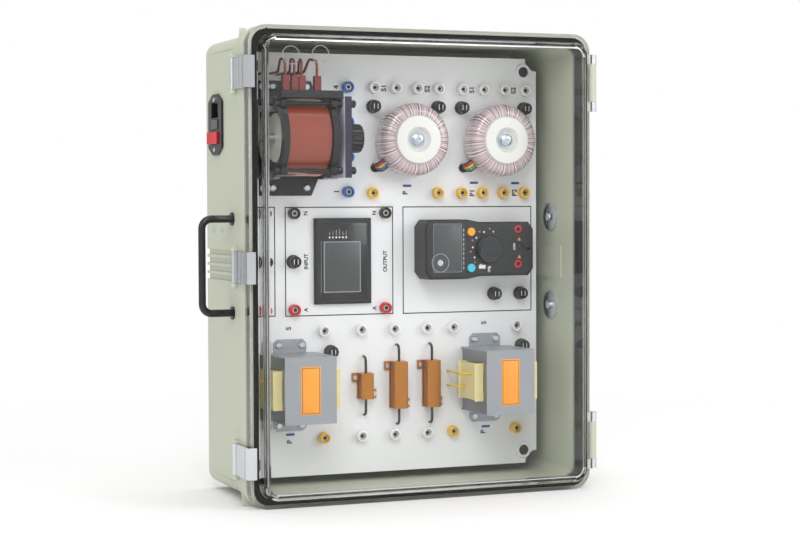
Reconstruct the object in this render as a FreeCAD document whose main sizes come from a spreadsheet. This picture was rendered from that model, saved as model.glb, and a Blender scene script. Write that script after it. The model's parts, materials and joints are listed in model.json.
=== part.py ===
"""Transformer training case: a wall case with a clear door and an instrument panel.

Millimetres. +X is right, -Y is the front, +Z is up. The origin is the centre of the
base, midway between the door's front face and the back wall.
"""
import FreeCAD, Part
import math
import os
import re
import Sketcher

# Driving dimensions. A depth is counted back from the door's front face, and a rise
# is counted forwards from the panel's front face.
SIZES = {
    # case
    "box_width": 392, "box_height": 500, "box_depth": 193, "box_corner": 20,
    "body_inset": 6, "body_corner": 15, "body_wall": 4,
    "collar_front": 35, "collar_thick": 14, "seam_gap": 0.3,
    "groove_depth": 2.6, "groove_height": 6, "groove_pitch": 9, "groove_front": 84,
    "pad_thick": 1.5, "pad_height": 36, "pad_front": 70,
    "foot_radius": 9, "foot_x": 140, "foot_depth": 160,
    # door
    "door_inset": 10, "door_step": 18, "door_wall": 4, "door_round": 7, "flange_ease": 2, "skirt_wall": 4,
    "gasket_play": 0.3,
    # hinges
    "hinge_spread": 395, "hinge_reach": 7.5, "hinge_depth": 30, "hinge_height": 62.5,
    "knuckle_radius": 5.5, "knuckle_height": 10.5, "knuckle_gap": 0.4,
    "pin_radius": 2, "pin_play": 0.05,
    # latches
    "latch_spread": 201.5, "latch_height": 33, "latch_depth": 62, "latch_reach": 3.6,
    "latch_sheet": 1.4, "latch_play": 0.4, "latch_pin": 1.3, "latch_hook": 6,
    "latch_rib": 0.8, "cheek_height": 5, "fairing_slope": 18, "fairing_back": 74,
    "fairing_over": 12,
    # carrying handles
    "handle_spacing": 100, "handle_reach": 34, "handle_bar": 4, "handle_bend": 10,
    "handle_flange": 7, "flange_thick": 2, "handle_screw": 2.5, "washer_radius": 16, "washer_thick": 1.5,
    # panel
    "panel_width": 350, "panel_height": 460, "panel_low": 19, "panel_front": 112,
    "panel_thick": 3, "panel_notch": 14, "fixing_x": 158, "fixing_z": 215,
    "standoff_radius": 6, "grommet_radius": 8.5, "grommet_rise": 3,
    # four-millimetre safety sockets
    "socket_radius": 6.25, "socket_rise": 8, "socket_bore": 3.9, "socket_floor": 2,
    "socket_neck": 5, "socket_tail": 16, "contact_radius": 2.6, "contact_bore": 2,
    "contact_rise": 6, "socket_pitch": 25.7,
    # fuse holders
    "fuse_radius": 7.5, "fuse_rise": 5, "fuse_bore": 5.6, "fuse_neck": 6, "fuse_tail": 24,
    "cap_radius": 6.4, "cap_rise": 12, "cap_stem": 5.3, "cap_slot": 1.4, "cap_gap": 0.3,
    # mains inlet
    "inlet_depth": 153, "inlet_z": 402, "inlet_long": 66, "inlet_wide": 50,
    "inlet_flange": 2.5, "inlet_body_wide": 28, "inlet_body_long": 48, "inlet_body": 26,
    "inlet_screws": 54, "inlet_screw": 1.5,
    "side_screw_front": 134, "side_screw_back": 165, "side_screw_z": 287.5,
    "recess_wide": 24.5, "recess_high": 16.5, "recess_deep": 18,
    "rocker_wide": 26, "rocker_high": 13, "rocker_tilt": 9, "drawer_high": 10.4,
    "drawer_wide": 25, "fit_gap": 0.3,
    # variable transformer
    "variac_z": 385.5, "variac_rise": 47, "variac_plate_x": -85, "variac_plate": 8,
    "variac_square": 85, "variac_base": 3, "winding_radius": 40.5, "winding_long": 48,
    "winding_bore": 19, "winding_flutes": 60, "flute_depth": 0.5, "core_cover": 3,
    "ring_thick": 7, "ring_inner": 35.5, "rod_radius": 2, "rod_rise": 30, "rod_z": 35,
    "nut_radius": 4, "nut_thick": 6.5, "shaft_radius": 4, "shaft_play": 0.05,
    "hub_radius": 26, "hub_thick": 3, "arm_thick": 5, "arm_wide": 12, "knob_radius": 18,
    "knob_long": 19, "knob_flute": 1.2, "knob_gap": 5, "boot_wide": 7, "boot_high": 15,
    # toroidal transformers
    "toroid_z": 385.5, "toroid_radius": 40.5, "toroid_rise": 35, "toroid_round": 11,
    "toroid_hole": 14, "dish_radius": 26.5, "dish_rise": 4, "dish_depth": 4, "dish_sheet": 2,
    "toroid_bolt": 4, "rubber_thick": 2, "toroid_left_x": 15, "toroid_right_x": 121,
    "lead_angle": 39, "lead_reach": 7.5, "lead_radius": 1.1, "lead_gap": 0.1, "lead_pitch": 2.5,
    # laminated transformers
    "frame_wide": 57.5, "frame_high": 71, "frame_rise": 70, "frame_sheet": 1.5,
    "ear_wide": 37.5, "ear_high": 100, "ear_hole_x": 26, "ear_hole_z": 87.4,
    "limb_wide": 23, "coil_wide": 76, "coil_high": 42, "coil_low": 12, "coil_top": 58,
    "laminated_z": 119, "laminated_left_x": -122.3, "laminated_right_x": 109.8,
    # load resistors
    "resistor_z": 115.3, "resistor_bolt": 1.5, "tab_reach": 7, "tab_thick": 2.5,
    "screw_shank": 2, "corner_screw": 2,
    # meters
    "bezel_wide": 66, "bezel_high": 94, "bezel_rise": 6, "bezel_x": -61.3, "bezel_z": 253,
    "meter_long": 131, "meter_high": 66, "meter_thick": 34, "meter_jack": 2.2, "meter_x": 90, "meter_z": 264.7,
    "dial_radius": 15.5, "dial_rise": 5, "button_radius": 4.6, "button_rise": 1.6,
}

V = FreeCAD.Vector
doc = FreeCAD.newDocument("training_case")
sheet = doc.addObject("Spreadsheet::Sheet", "Sizes")
for row, (alias, value) in enumerate(SIZES.items(), start=1):
    sheet.set(f"A{row}", alias)
    sheet.set(f"B{row}", str(value))
    sheet.setAlias(f"B{row}", alias)
doc.recompute()


class Cells:
    """Reads a size from the sheet by its alias."""

    def __getattr__(self, alias):
        return float(sheet.get(alias))


mm = Cells()
CELL = re.compile(r"\b[a-z]+(?:_[a-z]+)+\b")
nodes = {}

FRONT = "-box_depth / 2"
PANEL = "(panel_front - box_depth / 2)"
MID_Z = "box_height / 2"
front = -mm.box_depth / 2
panel_y = front + mm.panel_front
side_x = mm.box_width / 2 - mm.body_inset
mid_z = mm.box_height / 2


def bind(item, prop, expression):
    """Tie one property to the sheet's cells."""
    item.setExpression(prop, CELL.sub(lambda word: "Sizes." + word.group(), expression))


def place(item, at, turn=None):
    """Put an object at three expressions, after a turn."""
    item.Placement = FreeCAD.Placement(V(), turn or FreeCAD.Rotation())
    for axis, expression in zip("xyz", at):
        bind(item, f"Placement.Base.{axis}", str(expression))
    return item


TURNS = {
    "Z": FreeCAD.Rotation(),
    "X": FreeCAD.Rotation(V(0, 1, 0), 90),
    "Y": FreeCAD.Rotation(V(1, 0, 0), -90),
    "-Y": FreeCAD.Rotation(V(1, 0, 0), 90),
    "-X": FreeCAD.Rotation(V(0, 1, 0), -90),
}


def block(name, size, at):
    """A box with its low corner at a place."""
    item = doc.addObject("Part::Box", name)
    for prop, expression in zip(("Length", "Width", "Height"), size):
        bind(item, prop, str(expression))
    return place(item, at)


def rod(name, radius, length, at, along="Z", sides=0):
    """A cylinder from a place, along an axis, or a prism if it has sides."""
    item = doc.addObject("Part::Prism" if sides else "Part::Cylinder", name)
    bind(item, "Circumradius" if sides else "Radius", str(radius))
    bind(item, "Height", str(length))
    if sides:
        item.Polygon = sides
    return place(item, at, TURNS[along])


def fuse(name, *parts):
    item = doc.addObject("Part::MultiFuse", name)
    item.Shapes = list(parts)
    return item


def cut(name, base, *tools):
    """A base less one or more tools."""
    item = doc.addObject("Part::Cut", name)
    item.Base = base
    item.Tool = tools[0] if len(tools) == 1 else fuse(name + "_tools", *tools)
    return item


def solid(name, shape, at=V()):
    """A shape made in code, moved to its place."""
    item = doc.addObject("Part::Feature", name)
    item.Shape = shape
    item.Placement = FreeCAD.Placement(at, FreeCAD.Rotation()) * shape.Placement
    return item


def soften(name, base, radius, pick, kind="Fillet"):
    """Round or chamfer the edges that pick chooses."""
    doc.recompute()
    item = doc.addObject("Part::" + kind, name)
    item.Base = base
    item.Edges = [(i, radius, radius) for i, edge in enumerate(base.Shape.Edges, 1) if pick(edge)]
    return item


def node(name, item):
    """Register a finished sub-part under its own label."""
    item.Label = name
    nodes[name] = item
    return item


def sketch_in(body, role, offset):
    """A sketch on one of the body's own planes, pushed along its normal."""
    sketch = body.newObject("Sketcher::SketchObject", body.Name + "_sketch")
    plane = [part for part in body.Origin.OriginFeatures if part.Role == role][0]
    sketch.AttachmentSupport = [(plane, "")]
    sketch.MapMode = "FlatFace"
    bind(sketch, "AttachmentOffset.Base.z", offset)
    return sketch


def fix_point(sketch, line, end, number, expressions):
    """Hold one end of a line at two expressions."""
    for kind, expression in zip(("DistanceX", "DistanceY"), expressions):
        at = number[kind == "DistanceY"]
        index = sketch.addConstraint(Sketcher.Constraint(kind, -1, 1, line, end, at))
        bind(sketch, f"Constraints[{index}]", str(expression))


def worked_out(expression):
    """The value of an expression on the sheet's cells."""
    cell = doc.getObject("Worked") or doc.addObject("App::FeaturePython", "Worked")
    if not hasattr(cell, "Value"):
        cell.addProperty("App::PropertyFloat", "Value")
    bind(cell, "Value", str(expression))
    doc.recompute([cell])
    return float(cell.Value)


def polygon(sketch, points):
    """A closed outline of straight lines through points given as expressions."""
    values = [(worked_out(u), worked_out(v)) for u, v in points]
    count = len(points)
    for i in range(count):
        ends = values[i], values[(i + 1) % count]
        sketch.addGeometry(Part.LineSegment(V(*ends[0], 0), V(*ends[1], 0)), False)
    for i in range(count):
        sketch.addConstraint(Sketcher.Constraint("Coincident", i, 2, (i + 1) % count, 1))
    for i, point in enumerate(points):
        fix_point(sketch, i, 1, values[i], point)


def padded(name, role, points, start, length):
    """A straight pad of an outline. Planes: XZ for Y depths, XY for Z heights."""
    body = doc.addObject("PartDesign::Body", name)
    backwards = role == "XZ_Plane"
    sketch = sketch_in(body, role, f"-({start})" if backwards else str(start))
    polygon(sketch, points)
    pad = body.newObject("PartDesign::Pad", name + "_pad")
    pad.Profile = sketch
    bind(pad, "Length", str(length))
    pad.Reversed = backwards
    return body


def turned(name, points, at, along="Z"):
    """A revolved body from (radius, height) points, its axis along X, Y or Z."""
    body = doc.addObject("PartDesign::Body", name)
    sketch = sketch_in(body, "XZ_Plane", "0")
    polygon(sketch, points)
    spin = body.newObject("PartDesign::Revolution", name + "_turn")
    spin.Profile = sketch
    spin.ReferenceAxis = (sketch, ["V_Axis"])
    spin.Angle = 360
    return place(body, at, TURNS[along])


def plate(name, wide, high, radius, start, length, x="0", z=MID_Z):
    """A round-cornered plate facing -Y, from one depth back through its thickness."""
    body = doc.addObject("PartDesign::Body", name)
    sketch = sketch_in(body, "XZ_Plane", f"-({start})")
    half_w, half_h, r = (worked_out(e) for e in (f"({wide}) / 2", f"({high}) / 2", radius))
    cx, cz = worked_out(x), worked_out(z)
    corners = [(cx + sx * (half_w - r), cz + sz * (half_h - r), turn)
               for sx, sz, turn in ((1, 1, 0), (-1, 1, 90), (-1, -1, 180), (1, -1, 270))]
    for u, v, turn in corners:
        circle = Part.Circle(V(u, v, 0), V(0, 0, 1), r)
        arc = Part.ArcOfCircle(circle, math.radians(turn), math.radians(turn + 90))
        sketch.addGeometry(arc, False)
    for i in range(4):
        u0, v0, t0 = corners[i]
        u1, v1, _ = corners[(i + 1) % 4]
        lift = V(r * math.cos(math.radians(t0 + 90)), r * math.sin(math.radians(t0 + 90)), 0)
        sketch.addGeometry(Part.LineSegment(V(u0, v0, 0) + lift, V(u1, v1, 0) + lift), False)
        sketch.addConstraint(Sketcher.Constraint("Tangent", i, 2, 4 + i, 1))
        sketch.addConstraint(Sketcher.Constraint("Tangent", 4 + i, 2, (i + 1) % 4, 1))
        if i:
            sketch.addConstraint(Sketcher.Constraint("Equal", 0, i))
    for line, level in ((4, "Horizontal"), (5, "Vertical"), (6, "Horizontal"), (7, "Vertical")):
        sketch.addConstraint(Sketcher.Constraint(level, line))
    held = (("Radius", (0,), r, radius),
            ("DistanceX", (-1, 1, 7, 1), cx + half_w, f"({x}) + ({wide}) / 2"),
            ("DistanceX", (-1, 1, 5, 1), cx - half_w, f"({x}) - ({wide}) / 2"),
            ("DistanceY", (-1, 1, 4, 1), cz + half_h, f"({z}) + ({high}) / 2"),
            ("DistanceY", (-1, 1, 6, 1), cz - half_h, f"({z}) - ({high}) / 2"))
    for kind, points, value, expression in held:
        index = sketch.addConstraint(Sketcher.Constraint(kind, *points, value))
        bind(sketch, f"Constraints[{index}]", str(expression))
    pad = body.newObject("PartDesign::Pad", name + "_pad")
    pad.Profile = sketch
    bind(pad, "Length", str(length))
    pad.Reversed = True
    return body


def copies(name, source, places):
    """Separate solids, one copy of a source shape at each place."""
    doc.recompute()
    moved = []
    for spot in places:
        shape = source.Shape.copy()
        shape.translate(spot)
        moved += shape.Solids
    return solid(name, Part.Compound(moved))


def on_panel(x, z, rise=0.0):
    """A point at a rise in front of the panel's face."""
    return V(x, panel_y - rise, z)


def closed(faces):
    """A solid from the flats that enclose it."""
    shape = Part.Solid(Part.Shell(faces))
    return shape if shape.Volume > 0 else shape.reversed()


def flats(low, high):
    """The flats between two rings of corners, or none where both are one point."""
    if len(low) == len(high) == 1:
        return []
    if min(len(low), len(high)) == 1:
        ring = max(low, high, key=len)
        return [Part.Face(Part.makePolygon(ring + ring[:1]))]
    quads = [[low[i - 1], low[i], high[i], high[i - 1]] for i in range(len(low))]
    return [Part.Face(Part.makePolygon(quad + quad[:1])) for quad in quads]


def faceted(profile, sides, at, along):
    """A turned solid in flats, from the (radius, height) points of its closed profile."""
    turn = FreeCAD.Rotation(V(0, 0, 1), along)
    rings = []
    for radius, height in profile:
        angles = [2 * math.pi * i / sides for i in range(sides if radius else 1)]
        rings.append([at + turn.multVec(V(radius * math.cos(a), radius * math.sin(a), height))
                      for a in angles])
    faces = []
    for low, high in zip(rings, rings[1:] + rings[:1]):
        faces += flats(low, high)
    return closed(faces)


def peg(radius, length, at, along, sides):
    """A plain pin in flats, from a place along a direction."""
    return faceted([(0, 0), (radius, 0), (radius, length), (0, length)], sides, at, along)


def wire(route, radius, bends, sides=6, steps=3):
    """A wire along straight runs joined by bends, mitred at each small turn."""
    path = [route[0]]
    for i in range(1, len(route) - 1):
        before = (route[i - 1] - route[i]).normalize()
        after = (route[i + 1] - route[i]).normalize()
        half = before.getAngle(after) / 2
        centre = route[i] + (before + after).normalize() * (bends[i - 1] / math.sin(half))
        reach = bends[i - 1] / math.tan(half)
        enter = route[i] + before * reach - centre
        turn = FreeCAD.Rotation(enter, route[i] + after * reach - centre)
        path += [centre + FreeCAD.Rotation(turn.Axis, math.degrees(turn.Angle) * k / steps
                                           ).multVec(enter) for k in range(steps + 1)]
    path.append(route[-1])
    heading = (path[1] - path[0]).normalize()
    side = heading.cross(V(0, 0, 1) if abs(heading.z) < 0.9 else V(1, 0, 0)).normalize()
    ring = [path[0] + FreeCAD.Rotation(heading, 360 * i / sides).multVec(side * radius)
            for i in range(sides)]
    faces = [Part.Face(Part.makePolygon(ring + ring[:1]))]
    for i in range(1, len(path)):
        run = (path[i] - path[i - 1]).normalize()
        ahead = (path[i + 1] - path[i]).normalize() if i + 1 < len(path) else run
        mitre = run + ahead
        moved = [p + run * ((path[i] - p).dot(mitre) / run.dot(mitre)) for p in ring]
        faces += flats(ring, moved)
        ring = moved
    faces.append(Part.Face(Part.makePolygon(ring + ring[:1])))
    return closed(faces)


# Case body: moulded shell with collar, latch fairings, finger grooves and knuckles
def make_body():
    depth = f"(box_depth - collar_front)"
    shell = plate("shell", "box_width - 2 * body_inset", "box_height - 2 * body_inset",
                  "body_corner", f"{FRONT} + collar_front", depth)
    collar = plate("collar", "box_width", "box_height", "box_corner",
                   f"{FRONT} + collar_front", "collar_thick")
    hollow = plate("hollow", "box_width - 2 * (body_inset + body_wall)",
                   "box_height - 2 * (body_inset + body_wall)", "body_corner - body_wall",
                   f"{FRONT} + collar_front", f"{depth} - body_wall")
    added, removed = [shell, collar], [hollow]
    inner = "(box_width / 2 - body_inset - body_wall)"
    lugs = []
    for side, sign in (("left", "-1"), ("right", "1")):
        pad_x = f"-{inner} - 0.5" if side == "left" else f"{inner} - pad_thick"
        lugs.append(block(f"grip_pad_{side}", ("pad_thick + 0.5", "box_depth - pad_front - body_wall",
                          "pad_height"),
                          (pad_x, f"{FRONT} + pad_front", f"{MID_Z} - pad_height / 2")))
        groove_x = ("-(box_width / 2 - body_inset) - groove_depth" if side == "left"
                    else "(box_width / 2 - body_inset) - groove_depth")
        for row in range(4):
            level = f"{MID_Z} + {row - 1.5} * groove_pitch - groove_height / 2"
            removed.append(block(f"groove_{side}_{row}", ("2 * groove_depth",
                                 "box_depth - groove_front + 1", "groove_height"),
                                 (groove_x, f"{FRONT} + groove_front", level)))
    for row in (-1, 0, 1):
        middle = f"({MID_Z} + {row} * latch_spread)"
        reach = "(latch_height / 2 + fairing_over)"
        back, near = f"({FRONT} + fairing_back)", f"({FRONT} + collar_front)"
        outline = [("-box_width / 2", near), ("-box_width / 2", back),
                   ("-(box_width / 2 - body_inset) + 1", back),
                   ("-(box_width / 2 - body_inset) + 1", near)]
        added.append(padded(f"fairing_{row + 2}", "XY_Plane", outline,
                            f"{middle} - {reach}", f"2 * {reach}"))
        added += fairing_flares(row, middle, reach)
        added += latch_cheeks(row, middle)
    added += hinge_knuckles()
    removed.append(block("inlet_cut", ("3 * body_wall", "inlet_body_wide", "inlet_body_long"),
                         ("-(box_width / 2 - body_inset) - body_wall",
                          f"{FRONT} + inlet_depth - inlet_body_wide / 2",
                          "inlet_z - inlet_body_long / 2")))
    for s in (-1, 1):
        removed.append(rod(f"inlet_screw_hole_{s}", "inlet_screw", "3 * body_wall",
                           ("-box_width / 2", f"{FRONT} + inlet_depth",
                            f"inlet_z + {s} * inlet_screws / 2"), "X", 6))
    for depth in ("side_screw_front", "side_screw_back"):
        removed.append(rod(f"hole_{depth}", "inlet_screw", "3 * body_wall",
                           ("-box_width / 2", f"{FRONT} + {depth}", "side_screw_z"), "X", 6))
    for side in (-1, 1):
        for row in (-1, 1):
            removed.append(rod(f"handle_hole_{side}_{row}", "handle_screw",
                               "4 * body_wall",
                               (f"{side} * (box_width / 2 - body_inset) - 2 * body_wall",
                                f"{FRONT} + box_depth / 2",
                                f"{MID_Z} + {row} * handle_spacing / 2"), "X", 8))
    bare = cut("bare_body", fuse("outer_body", *added), *removed)
    node("enclosure_body", fuse("body", bare, *lugs))


def fairing_flares(row, middle, reach):
    """Hollow-curved ends that carry each latch fairing back to the collar."""
    mid, half = worked_out(middle), worked_out(reach)
    slope, near = mm.fairing_slope, front + mm.collar_front + mm.collar_thick
    x0, x1 = -mm.box_width / 2, -side_x + 1
    flares = []
    for end in (-1, 1):
        base = mid + end * half
        a, b = V(x0, near + slope, base), V(x0, near, base + end * slope)
        bow = a + V(0, -slope, end * slope) * math.sqrt(0.5) + V(0, 0, end * slope) * (
            1 - math.sqrt(2))
        edge = Part.Arc(a, bow, b).toShape()
        rest = Part.makePolygon([b, V(x0, near, base), a])
        face = Part.Face(Part.Wire([edge] + rest.Edges))
        flares.append(solid(f"flare_{row + 2}_{end + 1}", face.extrude(V(x1 - x0, 0, 0))))
    return flares


def latch_cheeks(row, middle):
    """Two ears beside each latch that hold its pivot pin."""
    cheeks = []
    for end in ("-1", "1"):
        low = (f"{middle} + latch_height / 2 + latch_play" if end == "1"
               else f"{middle} - latch_height / 2 - latch_play - cheek_height + 1")
        pin_x = "-(box_width / 2 + latch_reach)"
        cheek = fuse(f"cheek_{row + 2}_{end}",
                     rod(f"cheek_round_{row + 2}_{end}", "latch_pin + 2", "cheek_height - 1",
                         (pin_x, f"{FRONT} + latch_depth", low), "Z", 12),
                     block(f"cheek_foot_{row + 2}_{end}", ("latch_reach + 1",
                           "2 * (latch_pin + 2)", "cheek_height - 1"),
                           (pin_x, f"{FRONT} + latch_depth - latch_pin - 2", low)))
        hole = rod(f"cheek_hole_{row + 2}_{end}", "latch_pin * 1.036", "cheek_height + 2",
                   (pin_x, f"{FRONT} + latch_depth", f"{low} - 1"), "Z", 12)
        cheeks.append(cut(f"cheek_bored_{row + 2}_{end}", cheek, hole))
    return cheeks


HINGES = (f"({MID_Z} - hinge_spread / 2 - hinge_height / 2)",
          f"({MID_Z} + hinge_spread / 2 - hinge_height / 2)")
HINGE_X = "(box_width / 2 + hinge_reach)"
HINGE_Y = f"({FRONT} + hinge_depth)"


def hinge_knuckles():
    """The body's middle knuckle of each hinge, on an arm from the collar."""
    arms = []
    for i, low in enumerate(HINGES):
        start = f"{low} + knuckle_height + knuckle_gap"
        tall = "hinge_height - 2 * (knuckle_height + knuckle_gap)"
        outline = [("box_width / 2 - 1", f"{FRONT} + collar_front"),
                   ("box_width / 2 + 0.6", f"{FRONT} + collar_front"),
                   (f"{HINGE_X} - knuckle_radius * 0.72", f"{HINGE_Y} + knuckle_radius * 0.3"),
                   (f"{HINGE_X} + knuckle_radius * 0.9", f"{HINGE_Y} + knuckle_radius * 0.3"),
                   (f"{HINGE_X} - knuckle_radius * 0.2",
                    f"{FRONT} + collar_front + collar_thick - 2"),
                   ("box_width / 2 - 1", f"{FRONT} + collar_front + collar_thick")]
        arm = padded(f"body_arm_{i}", "XY_Plane", outline, start, tall)
        barrel = rod(f"body_barrel_{i}", "knuckle_radius", tall, (HINGE_X, HINGE_Y, start))
        bore = rod(f"body_bore_{i}", "pin_radius", f"{tall} + 2",
                   (HINGE_X, HINGE_Y, f"{start} - 1"))
        arms.append(cut(f"body_knuckle_{i}", fuse(f"body_hinge_{i}", arm, barrel), bore))
    return arms


def make_feet():
    """Two feet that level the body's back edge with the collar."""
    feet = [rod(f"foot_{sign}", "foot_radius", "body_inset",
                (f"{sign} * foot_x", f"{FRONT} + foot_depth", "0")) for sign in (-1, 1)]
    node("rear_feet", fuse("feet", *feet))


# Clear door: raised pan, flange with a gasket channel, and the outer hinge knuckles
def make_door():
    pan_w, pan_h = "(box_width - 2 * door_inset)", "(box_height - 2 * door_inset)"
    lip = "collar_front - gasket_play - 2"
    pan = plate("pan", pan_w, pan_h, "box_corner - door_wall", FRONT, lip)
    pan = soften("pan_rounded", pan, mm.door_round,
                 lambda edge: abs(edge.BoundBox.YMax - front) < 0.01)
    well = plate("pan_hollow", f"{pan_w} - 2 * door_wall", f"{pan_h} - 2 * door_wall",
                 "box_corner - 2 * door_wall", f"{FRONT} + door_wall", "collar_front")
    well = soften("pan_hollow_eased", well, mm.door_round - mm.door_wall,
                  lambda edge: abs(edge.BoundBox.YMax - front - mm.door_wall) < 0.01, "Chamfer")
    flange = plate("flange", "box_width", "box_height", "box_corner",
                   f"{FRONT} + door_step", "collar_front - door_step - seam_gap")
    flange = soften("flange_eased", flange, mm.flange_ease,
                    lambda edge: abs(edge.BoundBox.YMax - front - mm.door_step) < 0.01, "Chamfer")
    channel = cut("channel",
                  plate("channel_outer", "box_width - 2 * skirt_wall",
                        "box_height - 2 * skirt_wall", "box_corner - skirt_wall",
                        f"{FRONT} + door_step + door_wall", "collar_front"),
                  plate("channel_inner", pan_w, pan_h, "box_corner - door_wall",
                        f"{FRONT} + door_step", "2 * collar_front"))
    lens = cut("lens", fuse("door_outer", pan, flange), well, channel)
    knuckles, bores = [], []
    for i, low in enumerate(HINGES):
        for end in (0, 1):
            start = low if end == 0 else f"{low} + hinge_height - knuckle_height"
            barrel = rod(f"door_barrel_{i}_{end}", "knuckle_radius", "knuckle_height",
                         (HINGE_X, HINGE_Y, start))
            arm = block(f"door_arm_{i}_{end}", ("hinge_reach + 1", "knuckle_radius + 4",
                        "knuckle_height"), ("box_width / 2 - 1", f"{HINGE_Y} - 4 - 1.5", start))
            knuckles += [barrel, arm]
        bores.append(rod(f"door_bore_{i}", "pin_radius + pin_play", "hinge_height + 2",
                         (HINGE_X, HINGE_Y, f"{low} - 1")))
    node("door", cut("door_body", fuse("door_hinged", lens, *knuckles), *bores))
    ring = cut("gasket_ring",
               plate("gasket_outer", "box_width - 2 * skirt_wall - 2 * gasket_play",
                     "box_height - 2 * skirt_wall - 2 * gasket_play",
                     "box_corner - skirt_wall", f"{FRONT} + door_step + door_wall",
                     "collar_front - door_step - door_wall - gasket_play"),
               plate("gasket_inner", f"{pan_w} + 2 * gasket_play", f"{pan_h} + 2 * gasket_play",
                     "box_corner - door_wall", f"{FRONT} + door_step", "2 * collar_front"))
    node("door_gasket", ring)


def make_pins():
    """Hinge pins and latch pins, held by the body."""
    pins = [rod(f"hinge_pin_{i}", "pin_radius", "hinge_height", (HINGE_X, HINGE_Y, low))
            for i, low in enumerate(HINGES)]
    for row in (-1, 0, 1):
        low = f"{MID_Z} + {row} * latch_spread - latch_height / 2 - cheek_height"
        pins.append(rod(f"latch_pin_{row + 2}", "latch_pin", "latch_height + 2 * cheek_height",
                        ("-(box_width / 2 + latch_reach)", f"{FRONT} + latch_depth", low)))
    node("pivot_pins", fuse("pins", *pins))


# Latches: ribbed stainless covers that hook over the door's flange
def make_latches():
    for row, name in ((-1, "latch_lower"), (0, "latch_middle"), (1, "latch_upper")):
        low = f"{MID_Z} + {row} * latch_spread - latch_height / 2"
        pin_x, pin_y = "-(box_width / 2 + latch_reach)", f"({FRONT} + latch_depth)"
        skin = "-(box_width / 2 + 2)"
        hook = f"({FRONT} + door_step - latch_play)"
        outline = [("-(box_width / 2 - latch_hook)", hook),
                   ("-(box_width / 2 - latch_hook)", f"{hook} - latch_sheet"),
                   (f"{skin} - latch_sheet", f"{hook} - latch_sheet")]
        for rib in (0.28, 0.55, 0.8):
            at = f"{hook} + {rib} * (latch_depth - door_step)"
            outline += [(f"{skin} - latch_sheet", f"{at} - 3"),
                        (f"{skin} - latch_sheet - latch_rib", f"{at} - 1.5"),
                        (f"{skin} - latch_sheet - latch_rib", f"{at} + 1.5"),
                        (f"{skin} - latch_sheet", f"{at} + 3")]
        outline += [(f"{skin} - latch_sheet", pin_y), (skin, pin_y), (skin, hook)]
        cover = padded(f"{name}_cover", "XY_Plane", outline, low, "latch_height")
        curl = rod(f"{name}_curl", "latch_pin + pin_play + latch_sheet", "latch_height",
                   (pin_x, pin_y, low))
        bore = rod(f"{name}_bore", "latch_pin + pin_play", "latch_height + 2",
                   (pin_x, pin_y, f"{low} - 1"))
        node(name, cut(f"{name}_lever", fuse(f"{name}_sheet", cover, curl), bore))


# Carrying handles: bent bars with round flanges, one each side
def make_handles():
    bars = []
    for side in (-1, 1):
        wall = side * side_x
        reach = side * (side_x + mm.handle_reach)
        low, high = (mid_z + s * mm.handle_spacing / 2 for s in (-1, 1))
        deep = front + mm.box_depth / 2
        route = [V(wall, deep, low), V(reach, deep, low), V(reach, deep, high),
                 V(wall, deep, high)]
        bar = wire(route, mm.handle_bar, [mm.handle_bend] * 2, 12, 5)
        discs = [peg(mm.handle_flange, mm.flange_thick, V(wall, deep, z), V(side, 0, 0), 16)
                 for z in (low, high)]
        bars.append(bar.fuse(discs).removeSplitter())
    node("carrying_handles", solid("handles", Part.Compound([s for b in bars for s in b.Solids])))


def pan_screw(radius, head, tall, long):
    """A round-headed screw along +Y, its head's seat at the origin."""
    domed = faceted([(0, 0), (head, 0), (head, tall * 0.6), (head * 0.7, tall), (0, tall)], 8,
                    V(), V(0, -1, 0))
    slot = Part.makeBox(2 * head, tall / 2, 0.9, V(-head, -tall, -0.45))
    shank = peg(radius, long, V(), V(0, 1, 0), 6)
    return domed.cut(slot).fuse(shank).removeSplitter()


def side_screw(radius, head, tall, long):
    """The same screw, turned to face out of the left wall."""
    screw = pan_screw(radius, head, tall, long)
    screw.rotate(V(), V(0, 0, 1), -90)
    screw.rotate(V(), V(1, 0, 0), 90)
    return screw


# Panel board, its standoffs and corner fixings
def panel_holes():
    """Place, radius and flats of everything that passes through the panel."""
    holes = [(x, z, mm.socket_neck, 8) for _, spots in SOCKETS for x, z in spots]
    holes += [(x, z, mm.fuse_neck, 12) for x, z in FUSES]
    holes += [(x, z, mm.corner_screw, 6) for x, z in corner_spots()]
    holes += [(x, mm.toroid_z, mm.toroid_bolt, 8) for x in TOROID_X]
    holes += [(x, z, mm.screw_shank, 6) for x, z in variac_screws() + ear_screws()]
    holes += [(x, z, mm.resistor_bolt, 6) for x, z in resistor_screws()]
    return holes


# Each resistor's x, length, width and height
RESISTORS = ((-36.5, 28.5, 14.5, 14), (2.5, 52, 16, 16), (42, 52, 16, 16))


def ear_screws():
    """Places of the screws through the laminated transformers' ears."""
    return [(x + sx * mm.ear_hole_x / 2, mm.laminated_z + sz * mm.ear_hole_z / 2)
            for x in LAMINATED_X for sx in (-1, 1) for sz in (-1, 1)]


def resistor_screws():
    """Places of the bolts through the resistors' tabs."""
    return [(x + s * (wide / 2 + mm.tab_reach / 2), mm.resistor_z - s * (long / 2 - 5))
            for x, long, wide, _ in RESISTORS for s in (-1, 1)]


def corner_spots():
    centre = mm.panel_low + mm.panel_height / 2
    return [(sx * mm.fixing_x, centre + sz * mm.fixing_z) for sx in (-1, 1) for sz in (-1, 1)]


def lead_hole(x):
    """Where one toroidal transformer's leads pass into the panel."""
    return V(x, panel_y, mm.toroid_z) + LEADS_OUT * (mm.toroid_radius + mm.lead_reach)


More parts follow.
